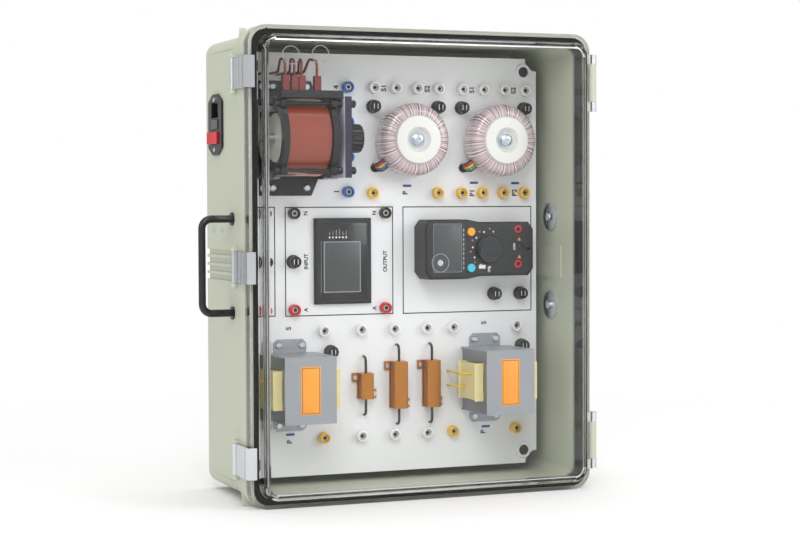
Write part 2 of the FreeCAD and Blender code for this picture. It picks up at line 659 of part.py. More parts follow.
def make_panel():
    centre = "(panel_low + panel_height / 2)"
    board = block("board_blank", ("panel_width", "panel_thick", "panel_height"),
                  ("-panel_width / 2", PANEL, "panel_low"))
    notches = [rod(f"notch_{sx}_{sz}", "panel_notch", "panel_thick + 2",
                   (f"{sx} * panel_width / 2", f"{PANEL} - 1",
                    f"{centre} + {sz} * panel_height / 2"), "Y")
               for sx in (-1, 1) for sz in (-1, 1)]
    drilled = [peg(r, mm.panel_thick + 2, V(x, panel_y - 1, z), V(0, 1, 0), sides)
               for x, z, r, sides in panel_holes()]
    # the measured socket's hole is round, as its bore is
    x, z, neck, _ = panel_holes()[0]
    drilled[0] = Part.makeCylinder(neck, mm.panel_thick + 2, V(x, panel_y - 1, z), V(0, 1, 0))
    holes = solid("board_holes", Part.Compound(drilled))
    node("panel", cut("board", board, *notches, holes))
    standoff = rod("standoff", "standoff_radius",
                   "box_depth - body_wall - panel_front - panel_thick",
                   ("0", f"{PANEL} + panel_thick", "0"), "Y", 12)
    spots = [V(x, 0, z) for x, z in corner_spots()]
    node("panel_standoffs", copies("standoffs", standoff, spots))
    out = V(0, -1, 0)
    ring = peg(mm.grommet_radius, mm.grommet_rise, V(0, panel_y, 0), out, 12)
    seat = V(0, panel_y - mm.grommet_rise, 0)
    screw = pan_screw(mm.corner_screw, 5, 3, mm.grommet_rise + mm.panel_thick)
    screw.translate(seat)
    bore = peg(mm.corner_screw, mm.grommet_rise, seat, V(0, 1, 0), 6)
    parts = [ring.cut(bore), screw]
    moved = [part.translated(spot) for spot in spots for part in parts]
    moved += [peg(3 * mm.lead_pitch, mm.grommet_rise, lead_hole(x), out, 12) for x in TOROID_X]
    node("panel_fixings", solid("fixings", Part.Compound(moved)))


# Places on the panel, as (x, z) on its face
TOROID_X = (mm.toroid_left_x, mm.toroid_right_x)
LEADS_OUT = V(-math.cos(math.radians(mm.lead_angle)), 0, -math.sin(math.radians(mm.lead_angle)))
LAMINATED_X = (mm.laminated_left_x, mm.laminated_right_x)
TOP_ROW, YELLOW_ROW, UPPER_ROW, LOWER_ROW = 443, 327.4, 177, 60
QUARTET = [step * mm.socket_pitch for step in (-1.5, -0.5, 0.5, 1.5)]
METER_SIDE, METER_TOP = 53, 52.4
COLUMNS = (-84, -40.5, -1.5, 37.5, 69.5, 147.5)
SOCKETS = (
    ("blue", [(-54.6, z) for z in (TOP_ROW, 404.9, 366.8, 328.7)]),
    ("white", [(x - 0.4 + dx, TOP_ROW) for x in TOROID_X for dx in QUARTET]
     + [(x, UPPER_ROW) for x in COLUMNS]
     + [(x, LOWER_ROW) for x in COLUMNS[1:4]]),
    ("yellow", [(mm.toroid_left_x - 2 + s * 39, YELLOW_ROW) for s in (-1, 1)]
     + [(mm.toroid_right_x - 1.5 + dx, YELLOW_ROW) for dx in QUARTET]
     + [(x, LOWER_ROW) for x in (COLUMNS[0],) + COLUMNS[4:]]),
    ("black", [(x, mm.bezel_z + METER_TOP) for x in
               (-150, mm.bezel_x - METER_SIDE - 3, mm.bezel_x + METER_SIDE - 3)]),
    ("red", [(x, mm.bezel_z - METER_TOP) for x in
             (-150, mm.bezel_x - METER_SIDE - 3, mm.bezel_x + METER_SIDE - 3)]),
)
FUSES = ([(x - 1 + s * 38.6, 422.4) for x in TOROID_X for s in (-1, 1)]
         + [(-150, mm.bezel_z), (-118, mm.bezel_z), (120.8, 213.5), (153.3, 213.5)]
         + [(-75.4, 154), (155.3, 154)])
CAP_NAMES = ("fuse_cap_toroid_1a", "fuse_cap_toroid_1b", "fuse_cap_toroid_2a",
             "fuse_cap_toroid_2b", "fuse_cap_supply", "fuse_cap_input", "fuse_cap_meter_1",
             "fuse_cap_meter_2", "fuse_cap_laminated_1", "fuse_cap_laminated_2")


def make_sockets():
    """Shrouded sockets with a brass contact each."""
    back, out = on_panel(0, 0, -mm.socket_tail), V(0, -1, 0)
    deep = mm.socket_tail + mm.socket_rise
    head = peg(mm.socket_radius, mm.socket_rise, on_panel(0, 0), out, 12)
    neck = peg(mm.socket_neck, mm.socket_tail, back, out, 8)
    well = peg(mm.socket_bore, mm.socket_rise, on_panel(0, 0, mm.socket_floor), out, 8)
    through = peg(mm.contact_radius, deep, back, out, 6)
    shroud = solid("socket", head.fuse(neck).cut([well, through]))
    tall = mm.socket_tail + mm.contact_rise
    tube = peg(mm.contact_radius, tall, back, out, 6)
    spots = [V(x, 0, z) for _, group in SOCKETS for x, z in group]
    node("safety_sockets", copies("sockets", shroud, spots))
    plain = tube.cut(peg(mm.contact_bore, tall, back + out, out, 6))
    measured = tube.cut(Part.makeCylinder(mm.contact_bore, tall, back + out, out))
    contacts = [(plain if i else measured).translated(spot) for i, spot in enumerate(spots)]
    node("socket_contacts", solid("contacts", Part.Compound(contacts)))


def make_fuses():
    """Panel fuse holders, each with a cap that turns."""
    out, face, sides = V(0, -1, 0), on_panel(0, 0), 12
    holder = faceted([(0, -mm.fuse_tail), (mm.fuse_neck, -mm.fuse_tail), (mm.fuse_neck, 0),
                      (mm.fuse_radius, 0), (mm.fuse_radius, mm.fuse_rise),
                      (mm.fuse_bore, mm.fuse_rise), (mm.fuse_bore, 3 - mm.fuse_tail),
                      (0, 3 - mm.fuse_tail)], sides, face, out)
    node("fuse_holders", copies("holders", solid("holder", holder), [V(x, 0, z) for x, z in FUSES]))
    lip = mm.fuse_rise + mm.cap_gap
    cap = faceted([(0, -mm.fuse_tail / 2), (mm.cap_stem, -mm.fuse_tail / 2), (mm.cap_stem, lip),
                   (mm.cap_radius, lip), (mm.cap_radius, mm.cap_rise - 1),
                   (mm.cap_radius - 1, mm.cap_rise), (0, mm.cap_rise)], sides, face, out)
    slot = Part.makeBox(3 * mm.cap_radius, 2 * mm.cap_slot, mm.cap_slot,
                        on_panel(-1.5 * mm.cap_radius, -mm.cap_slot / 2,
                                 mm.cap_rise + mm.cap_slot))
    slotted = cap.cut(slot)
    for name, (x, z) in zip(CAP_NAMES, FUSES):
        node(name, solid(name + "_turned", slotted.translated(V(x, 0, z))))


# Mains inlet in the left wall
def make_inlet():
    wall = "-(box_width / 2 - body_inset)"
    mid_y = f"({FRONT} + inlet_depth)"
    outer_x = f"{wall} - inlet_flange"
    long, wide = "inlet_long / 2", "inlet_wide / 2"
    flat, shoulder = "inlet_wide * 0.18", "inlet_long / 2 - 8"
    outline = [(f"{mid_y} + {u}", f"inlet_z + {v}") for u, v in (
        (f"({flat})", f"({long})"), (f"({wide})", f"({shoulder})"),
        (f"({wide})", f"-({shoulder})"), (f"({flat})", f"-({long})"),
        (f"-({flat})", f"-({long})"), (f"-({wide})", f"-({shoulder})"),
        (f"-({wide})", f"({shoulder})"), (f"-({flat})", f"({long})"))]
    points = [V(worked_out(outer_x), worked_out(u), worked_out(v)) for u, v in outline]
    face = Part.Face(Part.makePolygon(points + points[:1]))
    flange = solid("inlet_flange_plate", face.extrude(V(mm.inlet_flange, 0, 0)))
    back = block("inlet_back", ("inlet_body + 0.5", "inlet_body_wide - 2 * fit_gap",
                 "inlet_body_long - 2 * fit_gap"),
                 (f"{wall} - 0.5", f"{mid_y} - inlet_body_wide / 2 + fit_gap",
                  "inlet_z - inlet_body_long / 2 + fit_gap"))
    recess = block("socket_recess", ("recess_deep", "recess_wide", "recess_high"),
                   (outer_x, f"{mid_y} - recess_wide / 2", RECESS_Z))
    drawer = block("drawer_recess", ("recess_deep", "drawer_wide + 2 * fit_gap",
                   "drawer_high + 2 * fit_gap"),
                   (outer_x, f"{mid_y} - drawer_wide / 2 - fit_gap", f"{DRAWER_Z} - fit_gap"))
    rocker = block("rocker_recess", ("recess_deep", "rocker_wide + 4 * fit_gap",
                   "rocker_high + 2 * fit_gap"),
                   (outer_x, f"{mid_y} - rocker_wide / 2 - 2 * fit_gap",
                    f"{ROCKER_Z} - fit_gap"))
    holes = [rod(f"inlet_hole_{s}", "inlet_screw", "inlet_flange + 2",
                 (f"{outer_x} - 1", mid_y, f"inlet_z + {s} * inlet_screws / 2"), "X", 6)
             for s in (-1, 1)]
    node("inlet_housing", cut("inlet", fuse("inlet_block", flange, back), recess, drawer,
                              rocker, *holes))
    pins = [block(f"inlet_pin_{i}", ("recess_deep - 5", "2", "4"),
                  (f"{outer_x} + 5", f"{mid_y} + {dy} - 1", f"{RECESS_Z} + recess_high / 2 + {dz}"))
            for i, (dy, dz) in enumerate(((-7, -1), (0, -5), (7, -1)))]
    node("inlet_pins", fuse("pins_in_inlet", *pins))
    screws = []
    for s in (-1, 1):
        screw = side_screw(mm.inlet_screw, 3, 1.8, mm.inlet_flange + mm.body_wall)
        screw.translate(V(worked_out(outer_x), worked_out(mid_y),
                          mm.inlet_z + s * mm.inlet_screws / 2))
        screws.append(screw)
    node("inlet_screws", solid("screws_in_inlet", Part.Compound(screws)))
    face_x = f"{outer_x} - 0.8"
    node("fuse_drawer", block("drawer", ("recess_deep - fit_gap", "drawer_wide",
         "drawer_high"), (face_x, f"{mid_y} - drawer_wide / 2", DRAWER_Z)))
    half = "(rocker_wide / 2 - 0.5)"
    outline = [(f"{ROCKER_X} + 3", f"{mid_y} - {half}"), (f"{ROCKER_X} - 4", f"{mid_y} - {half}"),
               (f"{ROCKER_X} - 3", mid_y), (f"{ROCKER_X} - 4", f"{mid_y} + {half}"),
               (f"{ROCKER_X} + 3", f"{mid_y} + {half}"), (f"{ROCKER_X} + 6", mid_y)]
    button = padded("rocker_flat", "XY_Plane", outline, ROCKER_Z, "rocker_high")
    doc.recompute()
    shape = button.Shape.copy()
    pivot = V(worked_out(ROCKER_X), worked_out(mid_y), 0)
    shape.rotate(pivot, V(0, 0, 1), mm.rocker_tilt)
    node("rocker_switch", solid("rocker", shape))


RECESS_Z = "(inlet_z + 7.5)"
DRAWER_Z = "(inlet_z - 5)"
ROCKER_Z = "(inlet_z - 21)"
ROCKER_X = "(-(box_width / 2 - body_inset) - inlet_flange)"


# Variable transformer: toroidal winding on a bracket, swept by a brush arm
PLATE_LEFT = "(variac_plate_x - variac_plate / 2)"
RIGHT_RING = f"({PLATE_LEFT} - nut_thick - ring_thick)"
WINDING_LEFT = f"({RIGHT_RING} - winding_long)"
AXIS_Y = f"({PANEL} - variac_rise)"


def variac_spot(x, rise, z):
    """A point beside the variable transformer's axis."""
    return V(x, panel_y - mm.variac_rise - rise, mm.variac_z + z)


def rod_spots():
    return [(s * mm.rod_rise, t * mm.rod_z) for s in (-1, 1) for t in (-1, 1)]


def make_variac():
    left, right = worked_out(WINDING_LEFT), worked_out(RIGHT_RING)
    plate_left = worked_out(PLATE_LEFT)
    make_variac_frame()
    flutes = int(mm.winding_flutes)
    rim = []
    for i in range(2 * flutes):
        turn = math.pi * i / flutes
        radius = mm.winding_radius - (i % 2) * mm.flute_depth
        rim.append(variac_spot(left, radius * math.cos(turn), radius * math.sin(turn)))
    rim_face = Part.Face(Part.makePolygon(rim + rim[:1]))
    bulk = rim_face.extrude(V(mm.winding_long, 0, 0))
    along = V(1, 0, 0)
    bore = peg(mm.winding_bore, mm.winding_long, variac_spot(left, 0, 0), along, 24)
    cover = mm.core_cover
    inner, outer = mm.winding_bore + cover, mm.winding_radius - cover
    core = faceted([(inner, cover), (outer, cover), (outer, mm.winding_long - cover),
                    (inner, mm.winding_long - cover)], 24, variac_spot(left, 0, 0), along)
    node("variac_winding", solid("winding", bulk.cut(bore).cut(core)))
    node("variac_core", solid("core", core))
    rings = [end_ring(left - mm.ring_thick), end_ring(right)]
    node("variac_end_rings", solid("end_rings", Part.Compound(rings)))
    rods = []
    for rise, z in rod_spots():
        start = left - mm.ring_thick - mm.nut_thick
        end = plate_left + mm.variac_plate + mm.nut_thick
        bar = peg(mm.rod_radius, end + 1 - start, variac_spot(start, rise, z), along, 8)
        seats = (start, plate_left - mm.nut_thick, plate_left + mm.variac_plate)
        nuts = [hex_nut(variac_spot(x, rise, z), along, mm.nut_radius, mm.nut_thick)
                for x in seats]
        rods.append(bar.fuse(nuts).removeSplitter())
    node("variac_tie_rods", solid("tie_rods", Part.Compound([s for r in rods for s in r.Solids])))
    make_variac_rotor(left, right)
    make_terminals(left, plate_left)


def hex_nut(at, along, radius, thick):
    """A six-sided nut from a seat, without its thread."""
    return peg(radius, thick, at, along, 6)


def end_ring(x):
    """A moulded ring at one end of the winding, with a lug for each tie rod."""
    along = V(1, 0, 0)
    outer = mm.variac_rise - mm.variac_base
    ring = peg(outer, mm.ring_thick, variac_spot(x, 0, 0), along, 36)
    lugs = [peg(mm.nut_radius + 1.5, mm.ring_thick, variac_spot(x, r, z), along, 12)
            for r, z in rod_spots()]
    holes = [peg(mm.rod_radius, mm.ring_thick, variac_spot(x, r, z), along, 8)
             for r, z in rod_spots()]
    bore = peg(mm.ring_inner, mm.ring_thick, variac_spot(x, 0, 0), along, 36)
    return ring.fuse(lugs).cut([bore] + holes).removeSplitter().Solids[0]


def make_variac_frame():
    """Base plate on the panel and the upright end plate that carries the shaft."""
    foot = "variac_square / 2"
    outline = [("variac_plate_x + 24", f"variac_z - {foot} + 6"),
               ("variac_plate_x + 18", f"variac_z - {foot}"),
               ("variac_plate_x - 4", f"variac_z - {foot}"),
               ("variac_plate_x - 12", "variac_z - 61"), ("variac_plate_x - 62", "variac_z - 61"),
               ("variac_plate_x - 62", f"variac_z - {foot}"),
               ("variac_plate_x - 78", f"variac_z - {foot}"),
               ("variac_plate_x - 78", f"variac_z + {foot}"),
               ("variac_plate_x - 62", f"variac_z + {foot}"),
               ("variac_plate_x - 62", "variac_z + 63"), ("variac_plate_x - 12", "variac_z + 63"),
               ("variac_plate_x - 4", f"variac_z + {foot}"),
               ("variac_plate_x + 18", f"variac_z + {foot}"),
               ("variac_plate_x + 24", f"variac_z + {foot} - 6")]
    base = padded("variac_foot", "XZ_Plane", outline, f"{PANEL} - variac_base", "variac_base")
    holes = [rod(f"variac_hole_{i}", "screw_shank", "2 * variac_base",
                 (str(x), f"{PANEL} - 1.5 * variac_base", str(z)), "Y", 6)
             for i, (x, z) in enumerate(variac_screws())]
    node("variac_base", cut("variac_base_plate", base, *holes))
    upright = block("upright_blank", ("variac_plate", "2 * variac_rise - 2 * variac_base - 5",
                    "variac_square"),
                    (PLATE_LEFT, f"{PANEL} - 2 * variac_rise + variac_base + 5",
                     "variac_z - variac_square / 2"))
    bores = [rod(f"upright_bore_{i}", "rod_radius", "3 * variac_plate",
                 (f"{PLATE_LEFT} - variac_plate", f"{AXIS_Y} - ({rise})", f"variac_z + ({z})"),
                 "X", 8)
             for i, (rise, z) in enumerate(rod_spots())]
    bores.append(rod("upright_shaft", "shaft_radius + shaft_play", "3 * variac_plate",
                     (f"{PLATE_LEFT} - variac_plate", AXIS_Y, "variac_z"), "X"))
    node("variac_end_plate", cut("upright", upright, *bores))


def variac_screws():
    """Places of the screws through the base plate's ears."""
    return [(mm.variac_plate_x - 37 + sx * 19.3, mm.variac_z + 2 + sz * 54.5)
            for sx in (-1, 1) for sz in (-1, 1)]


def make_variac_rotor(left, right):
    """Shaft, brush arm and knob, which turn together."""
    end_x = worked_out(PLATE_LEFT) + mm.variac_plate
    arm_x = left - mm.ring_thick - mm.nut_thick - mm.arm_thick
    hub_x = left - mm.hub_thick
    along = V(1, 0, 0)
    sleeve = peg(mm.winding_bore, 2 * mm.hub_thick, variac_spot(left, 0, 0), along, 24)
    disc = peg(mm.hub_radius, mm.hub_thick, variac_spot(hub_x, 0, 0), along, 24)
    bore = Part.makeCylinder(mm.shaft_radius + mm.shaft_play, 4 * mm.hub_thick,
                             variac_spot(hub_x, 0, 0), along)
    node("variac_hub", solid("hub", disc.fuse(sleeve).cut(bore).removeSplitter()))
    knob_x = end_x + mm.knob_gap
    shaft = Part.makeCylinder(mm.shaft_radius, knob_x - arm_x, variac_spot(arm_x, 0, 0), along)
    node("variac_shaft", solid("shaft", shaft))
    hub = Part.makeCylinder(mm.arm_wide / 2 + 2, mm.arm_thick, variac_spot(arm_x, 0, 0), along)
    radial = Part.makeBox(mm.arm_thick, mm.arm_wide, mm.hub_radius + 8,
                          variac_spot(arm_x, mm.arm_wide / 2, 0))
    brush_long = left - mm.cap_gap - arm_x
    brush = Part.makeBox(brush_long, 6, 6, variac_spot(arm_x, 3, mm.hub_radius + 1.2))
    arm = hub.fuse([radial, brush]).cut(
        Part.makeCylinder(mm.shaft_radius, mm.arm_thick, variac_spot(arm_x, 0, 0), along))
    node("brush_arm", solid("arm", arm.removeSplitter()))
    grips = 24
    rim = []
    for i in range(2 * grips):
        turn = math.pi * i / grips
        radius = mm.knob_radius - mm.knob_flute * (i % 2)
        rim.append(variac_spot(knob_x, radius * math.cos(turn), radius * math.sin(turn)))
    body = Part.Face(Part.makePolygon(rim + rim[:1])).extrude(along * (mm.knob_long - 2))
    face = faceted([(0, 0), (mm.knob_radius - 1.5, 0), (mm.knob_radius - 4, 2), (0, 2)], grips,
                   variac_spot(knob_x + mm.knob_long - 2, 0, 0), along)
    node("variac_knob", solid("knob", body.fuse(face)))


def make_terminals(left, plate_left):
    """Terminal strip above the winding, and its booted leads to the panel."""
    strip_y = variac_spot(0, mm.rod_rise + 6, 0).y
    strip_z = mm.variac_z + mm.rod_z + mm.nut_radius + 1.5
    long = plate_left - left + mm.ring_thick
    strip = Part.makeBox(long, 12, 8, V(left - mm.ring_thick, strip_y, strip_z))
    node("terminal_strip", solid("strip", strip))
    leads = []
    boots_z = strip_z + 8
    for x, turn in ((left - 1, 4), (left + 9, 7), (left + 17, 9), (left + 34, -2)):
        boot = Part.makeBox(mm.boot_wide, mm.boot_wide, mm.boot_high,
                            V(x - mm.boot_wide / 2, strip_y + 2, boots_z))
        top = V(x, strip_y + 2 + mm.boot_wide / 2, boots_z + mm.boot_high)
        rear = V(x + turn, panel_y, top.z + 6)
        route = [top, top + V(0, 0, 16), V(x + turn / 2, top.y + 22, top.z + 19),
                 V(x + turn, top.y + 36, rear.z), rear]
        lead = wire(route, 1.4, [7, 9, 9])
        leads += [boot, lead]
    node("variac_leads", solid("leads", Part.Compound([s for l in leads for s in l.Solids])))


# Toroidal transformers, clamped by a dished washer and a bolt
def make_toroids():
    r, tall, bulge = mm.toroid_radius, mm.toroid_rise - mm.rubber_thick, mm.toroid_round
    profile = []
    for cx, cy, first in ((r - bulge, bulge, -90), (r - bulge, tall - bulge, 0)):
        for turn in (0, 30, 60, 90):
            a = math.radians(first + turn)
            profile.append((cx + bulge * math.cos(a), cy + bulge * math.sin(a)))
    inner = mm.toroid_hole
    profile += [(inner + 6, tall), (inner, tall - 6), (inner, 6), (inner + 6, 0)]
    out = V(0, -1, 0)
    ring = faceted(profile, 32, on_panel(0, mm.toroid_z, mm.rubber_thick), out)
    spots = [V(x, 0, 0) for x in TOROID_X]
    node("toroid_windings", copies("toroids", solid("toroid_ring", ring), spots))
    pad = cut("pad", rod("pad_disc", "toroid_radius - toroid_round + 4", "rubber_thick",
                         ("0", PANEL, "toroid_z"), "-Y", 24),
              rod("pad_hole", "toroid_bolt", "3 * rubber_thick",
                  ("0", f"{PANEL} + rubber_thick", "toroid_z"), "-Y", 8))
    node("toroid_pads", copies("pads", pad, spots))
    bolt, hole, rim = mm.toroid_bolt, mm.toroid_hole, mm.dish_radius
    deep, seat_rise = mm.dish_depth, mm.dish_sheet - mm.dish_depth
    dish = faceted([(bolt, -deep), (hole - 4, -deep), (hole + 1, 0), (rim, 0), (rim, 1.5),
                    (rim - 4, mm.dish_rise), (hole, mm.dish_rise), (hole - 3, seat_rise),
                    (bolt, seat_rise)], 24, on_panel(0, mm.toroid_z, mm.toroid_rise), out)
    node("toroid_washers", copies("dishes", solid("dish", dish), spots))
    shank = mm.toroid_rise + mm.panel_thick + 12
    bolts = []
    for x in TOROID_X:
        seat = V(x, panel_y - mm.toroid_rise - seat_rise, mm.toroid_z)
        back = V(x, panel_y + mm.panel_thick, mm.toroid_z)
        stem = peg(mm.toroid_bolt, shank - mm.dish_depth, seat, V(0, 1, 0), 8)
        washer = peg(mm.toroid_bolt + 5, 1.5, seat, out, 16)
        head = hex_nut(seat - V(0, 1.5, 0), V(0, -1, 0), 7, 5)
        nut = hex_nut(back, V(0, 1, 0), 7, 6)
        bolts.append(stem.fuse([washer, head, nut]).removeSplitter())
    node("toroid_bolts", solid("bolts", Part.Compound([s for b in bolts for s in b.Solids])))
    make_toroid_leads()


def make_toroid_leads():
    """Each winding's coloured leads, from its lower left into a grommet."""
    tubes = []
    for x in TOROID_X:
        across = V(LEADS_OUT.z, 0, -LEADS_OUT.x)
        for i in range(5):
            shift = (i - 2) * mm.lead_pitch
            start = (on_panel(x, mm.toroid_z, mm.toroid_rise / 2) + across * shift
                     + LEADS_OUT * (mm.toroid_radius + mm.lead_gap))
            end = lead_hole(x) + across * shift - V(0, mm.grommet_rise, 0)
            knee = V(end.x, start.y, end.z)
            tubes.append(wire([start, knee, end], mm.lead_radius, [4.5]))
    node("toroid_leads", solid("coloured_leads", Part.Compound(
        [s for t in tubes for s in t.Solids])))


# Laminated transformers: stacked core in a folded frame, with a bobbin through it
def make_laminated():
    x0 = "-frame_wide / 2"
    half = "frame_high / 2"
    rise = f"{PANEL} - frame_rise"
    outer = block("frame_outer", ("frame_wide", "frame_rise", "frame_high"),
                  (x0, rise, f"-{half}"))
    inside = block("frame_inside", ("frame_wide + 2", "frame_rise", "frame_high - 2 * frame_sheet"),
                   (f"{x0} - 1", f"{rise} + frame_sheet", f"-{half} + frame_sheet"))
    ears = soften("ears_round", block("ears", ("ear_wide", "frame_sheet", "ear_high"),
                  ("-ear_wide / 2", f"{PANEL} - frame_sheet", "-ear_high / 2")), 4,
                  lambda edge: edge.BoundBox.YLength > 1 and edge.BoundBox.XLength < 0.01
                  and edge.BoundBox.ZLength < 0.01, "Chamfer")
    gap = block("ear_gap", ("2 * ear_wide", "3 * frame_sheet", "frame_high - 2 * frame_sheet"),
                ("-ear_wide", f"{PANEL} - 2 * frame_sheet", f"-{half} + frame_sheet"))
    holes = [rod(f"ear_hole_{sx}_{sz}", "screw_shank", "6 * frame_sheet",
                 (f"{sx} * ear_hole_x / 2", f"{PANEL} - 3 * frame_sheet",
                  f"{sz} * ear_hole_z / 2"), "Y", 6) for sx in (-1, 1) for sz in (-1, 1)]
    frame = cut("ear_frame", fuse("frame_parts", cut("frame_band", outer, inside), ears),
                gap, *holes)
    spots = [V(x, 0, mm.laminated_z) for x in LAMINATED_X]
    node("transformer_frames", copies("frames", frame, spots))
    stack = block("stack_blank", ("frame_wide - 2", "frame_rise - frame_sheet - 2",
                  "frame_high - 2 * frame_sheet"),
                  (f"{x0} + 1", f"{rise} + frame_sheet", f"-{half} + frame_sheet"))
    window = block("stack_window", ("2 * frame_wide", "coil_top - coil_low", "coil_high"),
                   ("-frame_wide", f"{PANEL} - coil_top", "-coil_high / 2"))
    limb = block("limb", ("frame_wide - 2", "coil_top - coil_low", "limb_wide"),
                 (f"{x0} + 1", f"{PANEL} - coil_top", "-limb_wide / 2"))
    core = fuse("core_with_limb", cut("core_open", stack, window), limb)
    node("lamination_stacks", copies("stacks", core, spots))
    coil = block("coil_blank", ("coil_wide - 5", "coil_top - coil_low - 4", "coil_high - 2"),
                 ("-(coil_wide - 5) / 2", f"{PANEL} - coil_top + 2", "-coil_high / 2 + 1"))
    flanges = [block(f"bobbin_flange_{i}", ("coil_wide", "2", "coil_high"),
                     ("-coil_wide / 2", at, "-coil_high / 2"))
               for i, at in enumerate((f"{PANEL} - coil_top", f"{PANEL} - coil_low - 2"))]
    through = block("limb_cut", ("frame_wide - 2", "2 * coil_top", "limb_wide"),
                    (f"{x0} + 1", f"{PANEL} - 2 * coil_top", "-limb_wide / 2"))
    bobbin = cut("bobbin", fuse("bobbin_parts", coil, *flanges), through)
    node("transformer_bobbins", copies("bobbins", bobbin, spots))
    leads = []
    for x in LAMINATED_X:
        for lift, z in ((44, 9), (26, -7)):
            start = V(x - mm.coil_wide / 2 + 2.5, panel_y - lift, mm.laminated_z + z)
            end = V(x - mm.coil_wide / 2 - 8, panel_y, mm.laminated_z + z)
            knee = V(end.x, start.y, end.z)
            leads.append(wire([start, knee, end], 1.5, [6]))
    node("transformer_leads", solid("yellow_leads", Part.Compound(
        [s for l in leads for s in l.Solids])))


# Load resistors: finned housings with two tabs, a pin each end and looped leads


def make_resistors():
    bodies, bolts, leads = [], [], []
    for x, long, wide, tall in RESISTORS:
        z = mm.resistor_z
        bodies.append(resistor_body(x, z, long, wide, tall))
        for end in (-1, 1):
            start = V(x, panel_y - tall / 2, z + end * long / 2)
            far = z + end * (long / 2 + 18)
            leads.append(wire([start, V(x, start.y, far), V(x, panel_y, far)], 1.4, [5]))
    for x, z in resistor_screws():
        seat = on_panel(x, z, mm.tab_thick)
        stem = peg(mm.resistor_bolt, mm.tab_thick + mm.panel_thick, seat, V(0, 1, 0), 6)
        head = peg(2.8, 2, seat, V(0, -1, 0), 8)
        bolts.append(stem.fuse(head).removeSplitter())
    node("resistors", solid("resistor_bodies", Part.Compound(bodies)))
    node("resistor_bolts", solid("bolts_of_resistors", Part.Compound(
        [s for b in bolts for s in b.Solids])))
    node("resistor_leads", solid("black_leads", Part.Compound(
        [s for l in leads for s in l.Solids])))


def resistor_body(x, z, long, wide, tall):
    """An extruded housing with side fins, flat at both ends."""
    outline = [(wide / 2 + 1, 0), (wide / 2 + 1, mm.tab_thick)]
    fins = 3
    for i in range(fins):
        low = mm.tab_thick + i * (tall - 4) / fins
        pitch = (tall - 4) / fins
        outline += [(wide / 2 - 1.2, low), (wide / 2 - 1.2, low + pitch * 0.45),
                    (wide / 2, low + pitch * 0.45), (wide / 2, low + pitch)]
    outline += [(wide / 2 - 2.5, tall)]
    outline += [(-u, v) for u, v in reversed(outline)]
    points = [V(x + u, panel_y - v, z - long / 2) for u, v in outline]
    bar = Part.Face(Part.makePolygon(points + points[:1])).extrude(V(0, 0, long))
    tabs = []
    for sx, sz in ((-1, 1), (1, -1)):
        near = x + sx * wide / 2
        low_x = min(near, near + sx * mm.tab_reach)
        mid = z + sz * (long / 2 - 5)
        tab = Part.makeBox(mm.tab_reach, mm.tab_thick, 10, V(low_x, panel_y - mm.tab_thick, mid - 5))
        hole = peg(mm.resistor_bolt, 2 * mm.tab_thick,
                   V(near + sx * mm.tab_reach / 2, panel_y - 1.5 * mm.tab_thick, mid),
                   V(0, 1, 0), 6)
        tabs.append(tab.cut(hole))
    return bar.fuse(tabs).removeSplitter().Solids[0]


# Meters
def make_power_meter():
    bezel = soften("bezel_round", block("bezel", ("bezel_wide", "bezel_rise", "bezel_high"),
                   ("bezel_x - bezel_wide / 2", f"{PANEL} - bezel_rise",
                    "bezel_z - bezel_high / 2")), 3,
                   lambda edge: abs(edge.BoundBox.YMin - panel_y + mm.bezel_rise) < 0.01
                   and edge.BoundBox.YLength < 0.01)
    window = block("bezel_window", ("bezel_wide - 18", "3", "bezel_high - 18"),
                   ("bezel_x - (bezel_wide - 18) / 2", f"{PANEL} - bezel_rise - 1",
                    "bezel_z - (bezel_high - 18) / 2"))
    node("power_meter", cut("meter_bezel", bezel, window))


